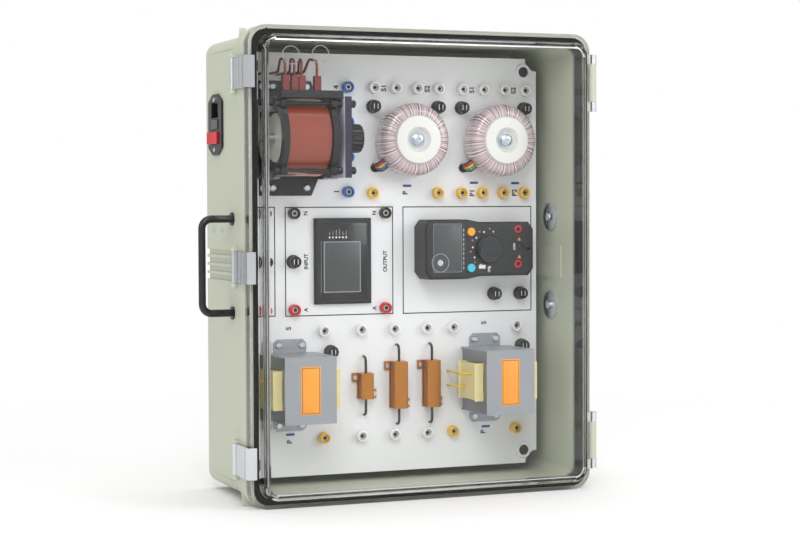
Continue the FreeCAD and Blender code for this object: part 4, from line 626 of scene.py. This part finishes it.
def dress_shell():
    refined("enclosure_body", "case_plastic", "case_plastic")
    refined("rear_feet", "black_rubber", "black_rubber")
    refined("pivot_pins", "steel", "steel")
    refined("door", "clear_plastic", "clear_plastic")
    refined("door_gasket", "black_rubber", "black_rubber")
    low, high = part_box("door")
    rim = [(9.6, 0), (9.4, 0.35), (9, 0.35), (8.8, 0)]
    edge = turned(rim, (0, low.y / MM, 0), steps=64, ring=True)
    finished(spread(edge, ROUNDELS), "door_roundels", "ink_grey", HOME["door"], "clear_plastic")
    for place in ("lower", "middle", "upper"):
        refined("latch_" + place, "stainless", "stainless")


def dress_fittings():
    refined("carrying_handles", "black_paint", "black_paint", 40)
    refined("inlet_housing", "black_plastic", "black_plastic", bevel=0.3)
    refined("inlet_pins", "steel", "steel")
    refined("inlet_screws", "steel", "steel")
    refined("fuse_drawer", "gloss_black", "black_plastic", bevel=0.4)
    refined("rocker_switch", "red_plastic", "red_plastic", bevel=0.4)


def dress_panel():
    look = sizes()
    width, height = look.line_width / MM, look.letter_height
    lines = [outline(x0, x1, z0, z1, width, PANEL_FRONT) for x0, x1, z0, z1 in PRINTED_FRAMES]
    finished(joined(lines), "panel_lines", "ink_and_shade_black", "root")
    words = [lettering(text, x, z, height * (0.75 if text in METER_WORDS else 1), PANEL_FRONT)
             for text, x, z in LETTERS]
    finished(joined(words), "panel_letters", "ink_and_shade_black", "root")
    long, wide = 5, 1.3
    dashes = [patch(x - long, x + long, z - wide, z + wide, PANEL_FRONT, PRINT_THICK)
              for x, z in BLUE_DASHES]
    finished(joined(dashes), "panel_dashes", "ink_blue", "root")
    for node in ("panel", "panel_standoffs"):
        paint_node(node, "white_panel" if node == "panel" else "steel")
    cup = turned([(9, 0), (9, 2.2), (8.4, 3), (6.4, 3), (5.8, 2.2)], (0, PANEL_FRONT, 0))
    head = turned([(5.7, 0), (5.7, 2.4), (4.9, 3.4), (0, 3.6)], (0, PANEL_FRONT, 0))
    corners = [(x, z) for x in (-FIXING_X, FIXING_X) for z in FIXING_Z]
    finished(spread(cup, corners), "fixing_cups", "socket_white", "root")
    finished(spread(head, corners), "fixing_caps", "black_plastic", "root", "black_plastic",
             "panel_fixings")


def paint_node(node, material):
    """Gives a node that keeps its own mesh a finish."""
    mesh = frame["nodes"][node].data
    mesh.materials.clear()
    mesh.materials.append(FINISH[material])


def dress_sockets():
    look = sizes()
    radius, rise, bore = (v / MM for v in (look.socket_radius, look.socket_rise, look.bore_radius))
    at = (0, PANEL_FRONT, 0)
    head = [(radius, 0), (radius, rise - 1), (radius - 0.35, rise - 0.3), (radius - 1, rise),
            (bore + 0.5, rise), (bore, rise - 0.6), (bore, 0.6), (0, 0.6)]
    for colour, places in SOCKET_PLACES.items():
        ring = spread(turned(head, at, ring=True), places)
        replaced = ["safety_sockets"] if colour == "white" else []
        finished(ring, "sockets_" + colour, "socket_" + colour, "root", "socket_plastic", *replaced)
    outer, hole = 3.3, 2.2
    sleeve = [(outer, 0.6), (outer, rise - 2.3), (3.05, rise - 2), (2.4, rise - 2),
              (hole, rise - 2.3), (hole, 1), (0, 1)]
    everywhere = [place for places in SOCKET_PLACES.values() for place in places]
    contact = spread(turned(sleeve, at, steps=28, ring=True), everywhere)
    finished(contact, "contact_sleeves", "brass", "root", "brass", "socket_contacts")
    liner = spread(turned([(bore - 0.02, 0.9), (bore - 0.02, 3.2), (3.35, 3.2)], at, steps=28,
                          ring=True), everywhere)
    finished(liner, "socket_liners", "gloss_black", "root", "socket_plastic")
    # A black cone down each contact's hole: painted shade in the hole.
    dark = spread(turned([(2.17, 1.1), (1.9, rise - 2.6), (0, rise - 2.6)], at, steps=20,
                         ring=True), everywhere)
    finished(dark, "socket_shadows", "ink_and_shade_black", "root")


def dress_fuses():
    caps = [node for node in sorted(HOME) if node.startswith("fuse_cap_")]
    places, half, long = [], 0.7, 5.2
    for node in caps:
        low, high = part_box(node)
        x, z = (low.x + high.x) / 2 / MM, (low.z + high.z) / 2 / MM
        places.append((x, z))
        at = (x, PANEL_FRONT, z)
        crown = [(6.4, 5), (6.4, 10.6), (6.1, 11.4), (5.4, 12), (3.8, 12), (3.5, 11.6), (0, 11.6)]
        cap = turned(crown, at, steps=48)
        slot = block((x - half, PANEL_FRONT - 13, z - long), (x + half, PANEL_FRONT - 10, z + long),
                     0.1, 1)
        modified(cap, "BOOLEAN", object=slot, operation="DIFFERENCE")
        bpy.data.objects.remove(slot)
        finished(smooth(cap), "cap_" + node, "gloss_black", HOME[node], "black_plastic", node)
        marks = [patch(x + side - 0.35, x + side + 0.35, z - 3, z + 3, PANEL_FRONT - 11.58, 0.05)
                 for side in (-2.2, 2.2)]
        finished(joined(marks), "marks_" + node, "ink_white", HOME[node])
    holder = turned([(7.5, 0), (7.5, 3.6), (7.1, 4.6), (6.6, 5), (0, 5)], (0, PANEL_FRONT, 0))
    finished(spread(holder, places), "fuse_collars", "gloss_black", "root", "black_plastic",
             "fuse_holders")


def folds(angle, reach):
    """Uneven folds of the tape, deeper towards the rim."""
    depth = sizes().fold_depth
    share = min(max((reach / MM - 20) / 20, 0), 1)
    wave = 0.5 * sin(58 * angle + 2.1 * sin(5 * angle)) + 0.3 * sin(97 * angle + sin(11 * angle))
    return depth * share * (wave - 0.8) * 0.6


def dress_toroids():
    outer = sizes().toroid_radius / MM
    bulge, thick, tall = 11, 2, 35
    rim = outer - bulge
    profile = [(20, thick)]
    for middle, first in ((thick + bulge, -90), (tall - bulge, 0)):
        for turn in range(0, 91, 15):
            angle = radians(first + turn)
            profile.append((rim + bulge * cos(angle), middle + bulge * sin(angle)))
    profile += [(20, tall), (14, tall - 6), (14, thick + 6), (20, thick)]
    for side, x in zip(("left", "right"), TOROID_X):
        at = (x, PANEL_FRONT, TOROID_Z)
        ring = turned(profile, at, steps=360, ring=True)
        rippled(ring, at, 1, folds)
        nodes = ["toroid_windings"] if side == "left" else []
        finished(smooth(ring, 60), "toroid_" + side, "mauve_tape_" + side, "root", "mauve_tape",
                 *nodes)
    under, bolt = DISH_FLOOR - 2, 4
    dish = [(bolt, DISH_FLOOR), (10.2, DISH_FLOOR), (11, 33.4), (13.6, 38.4), (14.2, 38.9),
            (23, 39), (25.6, 38.2), (26.4, 36.8), (26.5, tall), (15, tall), (10, under),
            (bolt, under), (bolt, DISH_FLOOR)]
    plate = turned(dish, (0, PANEL_FRONT, 0), steps=96, ring=True)
    finished(spread(plate, [(x, TOROID_Z) for x in TOROID_X]), "toroid_dishes", "cream_plastic",
             "root", "cream_plastic", "toroid_washers")
    refined("toroid_pads", "black_rubber", "black_rubber")
    wide = 9.2
    edge = [(bolt, DISH_FLOOR), (wide, DISH_FLOOR), (wide, 34.2), (8.9, WASHER_TOP),
            (8.2, WASHER_TOP), (8, 34.3), (bolt, 34.3), (bolt, DISH_FLOOR)]
    washer = turned(edge, (0, PANEL_FRONT, 0), steps=64, ring=True)
    dome = [(7, WASHER_TOP), (7, 36.6), (6.4, 38), (4.6, 39.1), (3, 39.5), (1.6, 39.5),
            (1.4, 37.5), (0, 37.5)]
    head = turned(dome, (0, PANEL_FRONT, 0), steps=64)
    both = [(x, TOROID_Z) for x in TOROID_X]
    grommet = turned([(5, 0), (5, 2.4), (4.2, 3), (0, 3)], (GROMMET[0], PANEL_FRONT, GROMMET[1]))
    finished(spread(grommet, both), "lead_grommets", "black_rubber", "root", "black_rubber")
    finished(spread(washer, both), "toroid_bolt_washers", "zinc_steel", "root", "zinc_steel")
    finished(spread(head, both), "toroid_bolt_heads", "zinc_steel", "root", "zinc_steel",
             "toroid_bolts")


def dress_ribbon_leads():
    """The toroids' leads, each taken as a loose part and given its own colour."""
    obj = refined("toroid_leads", "lead_black", "lead_insulation", 80)
    only(obj)
    bpy.ops.object.mode_set(mode="EDIT")
    bpy.ops.mesh.select_all(action="SELECT")
    bpy.ops.mesh.separate(type="LOOSE")
    bpy.ops.object.mode_set(mode="OBJECT")
    parts = [o for o in bpy.context.selected_objects if o.type == "MESH"]
    middle = sum(TOROID_X) / 2 * MM - 0.03
    shades = {"left": ("black", "red", "yellow", "blue", "brown"),
              "right": ("black", "red", "yellow", "green", "brown")}
    for side, group in (("left", [p for p in parts if reach(p).x < middle]),
                        ("right", [p for p in parts if reach(p).x >= middle])):
        for i, part in enumerate(sorted(group, key=lambda p: reach(p).x - reach(p).z)):
            name = f"lead_{side}_{i}"
            part.data.materials.clear()
            part.data.materials.append(FINISH["lead_" + shades[side][i]])
            part.name = name
            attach(part, "root")
    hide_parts("toroid_leads")


def reach(obj):
    """The middle of a mesh."""
    return sum((v.co for v in obj.data.vertices), Vector()) / len(obj.data.vertices)


def dress_variac():
    at = (0, VARIAC_Y, VARIAC_Z)
    inner, outer, left, right = 19, 40.5, -150.4, -102.6
    wire = [(inner, left), (outer - 0.8, left), (outer, left + 1), (outer, right - 1),
            (outer - 0.8, right), (inner, right), (inner, left)]
    coil = turned(wire, at, "X", 480, True)
    rippled(coil, at, 0, lambda angle, far: (0.1 * sin(240 * angle + 1.2) if far > 0.03 else 0) * MM)
    finished(smooth(coil, 50), "laid_winding", "copper", "root", "copper", "variac_winding")
    for node, material, slot, bevel in (
            ("variac_end_rings", "gloss_black", "black_plastic", 0.8),
            ("variac_hub", "cream_plastic", "cream_plastic", 0.3),
            ("variac_base", "black_plastic", "black_paint", 0.4),
            ("variac_tie_rods", "black_plastic", "zinc_steel", 0),
            ("variac_shaft", "steel", "steel", 0),
            ("brush_arm", "grey_metal", "grey_metal", 0.3),
            ("terminal_strip", "black_plastic", "black_plastic", 0.4),
            ("variac_leads", "boot_brown", "boot_brown", 0)):
        refined(node, material, slot, 30 if bevel else 60, bevel)
    paint_node("variac_core", "core_steel")
    plate = refined("variac_end_plate", "navy_plate", "navy_plate", 30, 0.8)
    plate.data.materials.append(FINISH["lilac_paint"])
    back = min(v.co.x for v in plate.data.vertices)
    for face in plate.data.polygons:
        if face.center.x < back + 0.2 * MM:
            face.material_index = 1
    grip = [(16.5, 0), (18, 1.2), (18, 4), (15.4, 6), (15, 17), (14, 18.6), (12, 19), (0, 19)]
    low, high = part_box("variac_knob")
    knob = turned(grip, (low.x / MM, VARIAC_Y, VARIAC_Z), "X", 144)
    rippled(knob, at, 0, lambda angle, far: (0.5 * sin(18 * angle) if far > 0.0135 else 0) * MM)
    finished(smooth(knob, 40), "ribbed_knob", "black_plastic", "variac_rotor", "black_plastic",
             "variac_knob")


def dress_laminated():
    refined("transformer_frames", "cover_grey", "zinc_steel", 30, 0.5)
    refined("lamination_stacks", "laminations", "laminations", 30, 0.3)
    refined("transformer_bobbins", "bobbin_yellow", "bobbin_yellow", 30, 0.6)
    refined("transformer_leads", "yellow_insulation", "yellow_insulation", 80)
    front = PANEL_FRONT - LAMINATED_RISE
    wide, tall, thick = 11, 25.5, 0.12
    labels = [patch(x - wide, x + wide, LAMINATED_Z - tall, LAMINATED_Z + tall, front, thick)
              for x in LAMINATED_X]
    finished(joined(labels), "bare_labels", "label_orange", "root")
    wide, tall = 9.8, 24.2
    edges = [outline(x - wide, x + wide, LAMINATED_Z - tall, LAMINATED_Z + tall, 0.5,
                     front - thick) for x in LAMINATED_X]
    finished(joined(edges), "label_borders", "ink_and_shade_black", "root")


def dress_resistors():
    refined("resistors", "gold_anodised", "gold_anodised", 30, 0.25)
    refined("resistor_leads", "gloss_black", "black_rubber", 80)
    refined("resistor_bolts", "steel", "steel")


def dress_power_meter():
    x, z = POWER_METER
    face = PANEL_FRONT - POWER_METER_RISE
    refined("power_meter", "meter_black", "black_plastic", 30, 0.6)
    wide, tall = 27, 42
    pane = patch(x - wide, x + wide, z - tall, z + tall, face + 1, 1.1, 0.4)
    finished(pane, "meter_pane", "gloss_black", "root", "black_plastic")
    top = face - 0.1
    left, right, low, high = POWER_SCREEN
    side, inset, thick, line = 0.3, 0.2, 0.12, 1.1
    screen = patch(x + left + side, x + right - side, z + low + inset, z + high - inset, top, thick)
    finished(screen, "meter_screen", "screen_grey", "root", "black_plastic")
    border = outline(x + left, x + right, z + low, z + high, line, top - thick)
    finished(border, "meter_screen_border", "ink_grey", "root")
    first = x - 16.3
    dots = [turned([(1.1, 0), (0.9, 0.1), (0, 0.12)], (first + DOT_PITCH * i, top, z + 26), steps=16)
            for i in range(6)]
    finished(joined(dots), "meter_dots", "ink_white", "root")
    half = 0.4
    marks = []
    for i in range(6):
        middle, rise = first + DOT_PITCH * i, (i * 5) % 4
        marks.append(patch(middle - half, middle + half, z + 28.5, z + 32 + rise, top, PRINT_THICK))
    column = x - 26.4
    for i in range(21):
        rung = z - 34 + RUNG_PITCH * i
        marks.append(patch(column, column + 2 * half, rung, rung + 1.4, top, PRINT_THICK))
    finished(joined(marks), "meter_marks", "ink_grey", "root")


def dial_marks(count, first, radius, half, face):
    """Printed marks round the multimeter's dial, at a radius in millimetres."""
    marks, wide, step = [], 0.9, 33
    for i in range(count):
        angle = radians(first + step * i)
        x, z = DIAL_X + radius * cos(angle), MULTIMETER_Z + radius * sin(angle)
        marks.append(patch(x - wide, x + wide, z - half, z + half, face, PRINT_THICK))
    return marks


def dress_multimeter():
    face, z = MULTIMETER_FACE, MULTIMETER_Z
    refined("multimeter_case", "meter_black", "meter_black", 35, 2)
    refined("multimeter_dial", "dial_black", "dial_black", 30, 0.2)
    for node, material, slot in (("select_button", "orange_plastic", "orange_plastic"),
                                 ("hold_button", "hold_blue", "blue_plastic")):
        refined(node, material, slot, 30, 0.3)
    (left, right), (low, high) = LCD_X, LCD_Z
    glass, margin = 0.3, 1
    window = patch(left, right, z + low, z + high, face, glass, 0.1)
    finished(window, "lcd_window", "screen_grey", "root", "meter_black")
    strip = outline(left - margin, right + margin, z + low - margin, z + high + margin, 0.5, face)
    place = (BACKLIGHT[0], face - glass, z + BACKLIGHT[1])
    ring = turned([(10.4, 0), (10.4, 0.35), (9.6, 0.35), (9.6, 0), (10.4, 0)], place, steps=48,
                  ring=True)
    finished(joined([strip, ring]), "meter_rings", "ink_grey", "root")
    spot = turned([(3.6, 0), (3.2, 0.5), (0, 0.6)], place, steps=32)
    finished(spot, "meter_spot", "stainless", "root", "stainless")
    bar, pitch = right + 2.9, 5.2
    marks = [patch(bar, bar + 0.6, z - 22 + pitch * i, z - 18.6 + pitch * i, face, PRINT_THICK)
             for i in range(9)]
    marks += dial_marks(7, 75, 20, 0.9, face)
    marks.append(lettering("OFF", DIAL_X, z - 22.5, 3.6 * MM, face))
    marks.append(lettering("COM", 131.5, z + 2.4, 3.2 * MM, face))
    marks.append(patch(88, 96, z - 21.5, z - 17.5, face, PRINT_THICK))
    finished(joined(marks), "meter_print", "ink_white", "root")
    marks = dial_marks(6, 88, 22.6, 0.7, face)
    arrow = [(2.6, 0), (2.4, PRINT_THICK), (0, PRINT_THICK)]
    for up in (10.4, -9.4):
        marks.append(turned(arrow, (137.5, face, z + up), steps=3))
    finished(joined(marks), "meter_orange_print", "ink_orange", "root")
    for name, x, up, material in JACKS:
        profile = [(4.3, 0), (4.3, 0.5), (3.9, 0.9), (2.7, 0.9), (2.4, 0.4), (2.4, 0)]
        jack = turned(profile, (x, face, z + up), steps=32, ring=True)
        finished(jack, "jack_" + name, material, "root", "meter_black")
        # A black disc in each jack's opening: painted shade in the hole.
        jack_shade_disc = turned([(2.35, 0.05), (2.35, 0.2), (0, 0.2)], (x, face, z + up), steps=24)
        finished(jack_shade_disc, "jack_shade_" + name, "ink_and_shade_black", "root")


def dress_screws():
    refined("screws_and_washers", "zinc_steel", "zinc_steel", 30)


def set_stage():
    """A pale floor, soft lamps, a white surround and the photograph's viewpoint."""
    bpy.ops.object.select_all(action="DESELECT")
    bpy.ops.mesh.primitive_plane_add(size=16)
    floor = bpy.context.object
    floor.name = "studio_floor"
    floor.data.materials.append(pale_floor())
    scene = bpy.context.scene
    world = bpy.data.worlds.new("studio")
    scene.world = world
    world.use_nodes = True
    nodes, links = world.node_tree.nodes, world.node_tree.links
    path = nodes.new("ShaderNodeLightPath")
    backdrop = nodes["Background"]
    seen = reckon(world.node_tree, "MAXIMUM", path.outputs["Is Camera Ray"],
                  path.outputs["Is Transmission Ray"])
    surround = 0.66
    glow = reckon(world.node_tree, "MULTIPLY_ADD", seen, 1 - surround, surround)
    links.new(glow, backdrop.inputs["Strength"])
    backdrop.inputs["Color"].default_value = (1, 1, 1, 1)
    aim = Vector((0, 0, 0.25))
    for name, place, size, power in LAMPS:
        lamp = bpy.data.lights.new(name, "AREA")
        lamp.size = size
        lamp.energy = power
        holder = bpy.data.objects.new(name, lamp)
        holder.location = place
        holder.rotation_euler = (aim - Vector(place)).to_track_quat("-Z", "Y").to_euler()
        scene.collection.objects.link(holder)
    scene.camera = aimed_camera()
    scene.view_settings.view_transform = "Standard"


def pale_floor():
    """White near the object with its shadow, and plain white further out."""
    material = bpy.data.materials.new("pale_floor")
    material.use_nodes = True
    nodes, links = material.node_tree.nodes, material.node_tree.links
    shader = nodes["Principled BSDF"]
    shader.inputs["Base Color"].default_value = (0.9, 0.9, 0.9, 1)
    shader.inputs["Roughness"].default_value = 0.9
    shader.inputs["Specular IOR Level"].default_value = 0.1
    glow = nodes.new("ShaderNodeEmission")
    where = nodes.new("ShaderNodeTexCoord")
    length = nodes.new("ShaderNodeVectorMath")
    length.operation = "LENGTH"
    far = nodes.new("ShaderNodeMapRange")
    far.inputs["From Min"].default_value = 0.3
    far.inputs["From Max"].default_value = 1.1
    path = nodes.new("ShaderNodeLightPath")
    mix = nodes.new("ShaderNodeMixShader")
    seen = reckon(material.node_tree, "MAXIMUM", path.outputs["Is Camera Ray"],
                  path.outputs["Is Transmission Ray"])
    links.new(where.outputs["Object"], length.inputs[0])
    links.new(length.outputs["Value"], far.inputs["Value"])
    links.new(reckon(material.node_tree, "MULTIPLY", far.outputs[0], seen), mix.inputs[0])
    links.new(shader.outputs[0], mix.inputs[1])
    links.new(glow.outputs[0], mix.inputs[2])
    links.new(mix.outputs[0], nodes["Material Output"].inputs["Surface"])
    return material


def aimed_camera():
    data = bpy.data.cameras.new("viewpoint")
    data.lens = CAMERA_LENS
    data.sensor_width = SENSOR
    data.clip_end = 50
    camera = bpy.data.objects.new("viewpoint", data)
    bpy.context.scene.collection.objects.link(camera)
    ahead = Vector((sin(CAMERA_YAW) * cos(CAMERA_PITCH), cos(CAMERA_YAW) * cos(CAMERA_PITCH),
                    sin(CAMERA_PITCH)))
    right = Vector((cos(CAMERA_YAW), -sin(CAMERA_YAW), 0))
    up = right.cross(ahead)
    rolled = right * cos(CAMERA_ROLL) + up * sin(CAMERA_ROLL)
    tilted = up * cos(CAMERA_ROLL) - right * sin(CAMERA_ROLL)
    turn = Matrix((rolled, tilted, -ahead)).transposed().to_4x4()
    camera.matrix_world = Matrix.Translation(CAMERA_PLACE) @ turn
    return camera


# Operators, panel and registration

class CASE_OT_finishes(bpy.types.Operator):
    """Mixes the finishes of the case and its instruments"""

    bl_idname = "training_case.finishes"
    bl_label = "Finishes"

    def execute(self, context):
        mix_finishes()
        return {"FINISHED"}


class CASE_OT_shell(bpy.types.Operator):
    """Models the case body, door, gasket, hinge pins and latches"""

    bl_idname = "training_case.shell"
    bl_label = "Shell and door"

    def execute(self, context):
        dress_shell()
        return {"FINISHED"}


class CASE_OT_fittings(bpy.types.Operator):
    """Models the handles and the supply inlet"""

    bl_idname = "training_case.fittings"
    bl_label = "Handles and inlet"

    def execute(self, context):
        dress_fittings()
        return {"FINISHED"}


class CASE_OT_panel(bpy.types.Operator):
    """Models the panel's print and its corner fixings"""

    bl_idname = "training_case.panel"
    bl_label = "Panel"

    def execute(self, context):
        dress_panel()
        return {"FINISHED"}


class CASE_OT_sockets(bpy.types.Operator):
    """Models the coloured sockets and their contacts"""

    bl_idname = "training_case.sockets"
    bl_label = "Sockets"

    def execute(self, context):
        dress_sockets()
        return {"FINISHED"}


class CASE_OT_fuses(bpy.types.Operator):
    """Models the fuse holders and their caps"""

    bl_idname = "training_case.fuses"
    bl_label = "Fuse holders"

    def execute(self, context):
        dress_fuses()
        return {"FINISHED"}


class CASE_OT_toroids(bpy.types.Operator):
    """Models the toroidal transformers and their leads"""

    bl_idname = "training_case.toroids"
    bl_label = "Toroidal transformers"

    def execute(self, context):
        dress_toroids()
        dress_ribbon_leads()
        return {"FINISHED"}


class CASE_OT_variac(bpy.types.Operator):
    """Models the variable transformer"""

    bl_idname = "training_case.variac"
    bl_label = "Variable transformer"

    def execute(self, context):
        dress_variac()
        return {"FINISHED"}


class CASE_OT_laminated(bpy.types.Operator):
    """Models the laminated transformers and the load resistors"""

    bl_idname = "training_case.laminated"
    bl_label = "Laminated transformers and resistors"

    def execute(self, context):
        dress_laminated()
        dress_resistors()
        return {"FINISHED"}


class CASE_OT_meters(bpy.types.Operator):
    """Models the power meter, the multimeter and the panel screws"""

    bl_idname = "training_case.meters"
    bl_label = "Meters"

    def execute(self, context):
        dress_power_meter()
        dress_multimeter()
        dress_screws()
        return {"FINISHED"}


class CASE_OT_stage(bpy.types.Operator):
    """Sets the floor, lamps and camera"""

    bl_idname = "training_case.stage"
    bl_label = "Stage"

    def execute(self, context):
        set_stage()
        return {"FINISHED"}


STEPS = (CASE_OT_finishes, CASE_OT_shell, CASE_OT_fittings, CASE_OT_panel, CASE_OT_sockets,
         CASE_OT_fuses, CASE_OT_toroids, CASE_OT_variac, CASE_OT_laminated, CASE_OT_meters,
         CASE_OT_stage)


class CASE_PT_steps(bpy.types.Panel):
    """Lists the steps that model the case"""

    bl_idname = "CASE_PT_steps"
    bl_label = "Training case"
    bl_space_type = "VIEW_3D"
    bl_region_type = "UI"
    bl_category = "Training Case"

    def draw(self, context):
        for step in STEPS:
            self.layout.operator(step.bl_idname)
        for group in (context.scene.case_colours, context.scene.case_sizes):
            for label in group.__annotations__:
                self.layout.prop(group, label)


CLASSES = (CaseColours, CaseSizes, *STEPS, CASE_PT_steps)


def register():
    for cls in CLASSES:
        bpy.utils.register_class(cls)
    bpy.types.Scene.case_colours = PointerProperty(type=CaseColours)
    bpy.types.Scene.case_sizes = PointerProperty(type=CaseSizes)


def unregister():
    del bpy.types.Scene.case_colours
    del bpy.types.Scene.case_sizes
    for cls in reversed(CLASSES):
        bpy.utils.unregister_class(cls)


def main():
    register()
    for step in STEPS:
        group, action = step.bl_idname.split(".")
        getattr(getattr(bpy.ops, group), action)()


if __name__ == "__main__":
    main()
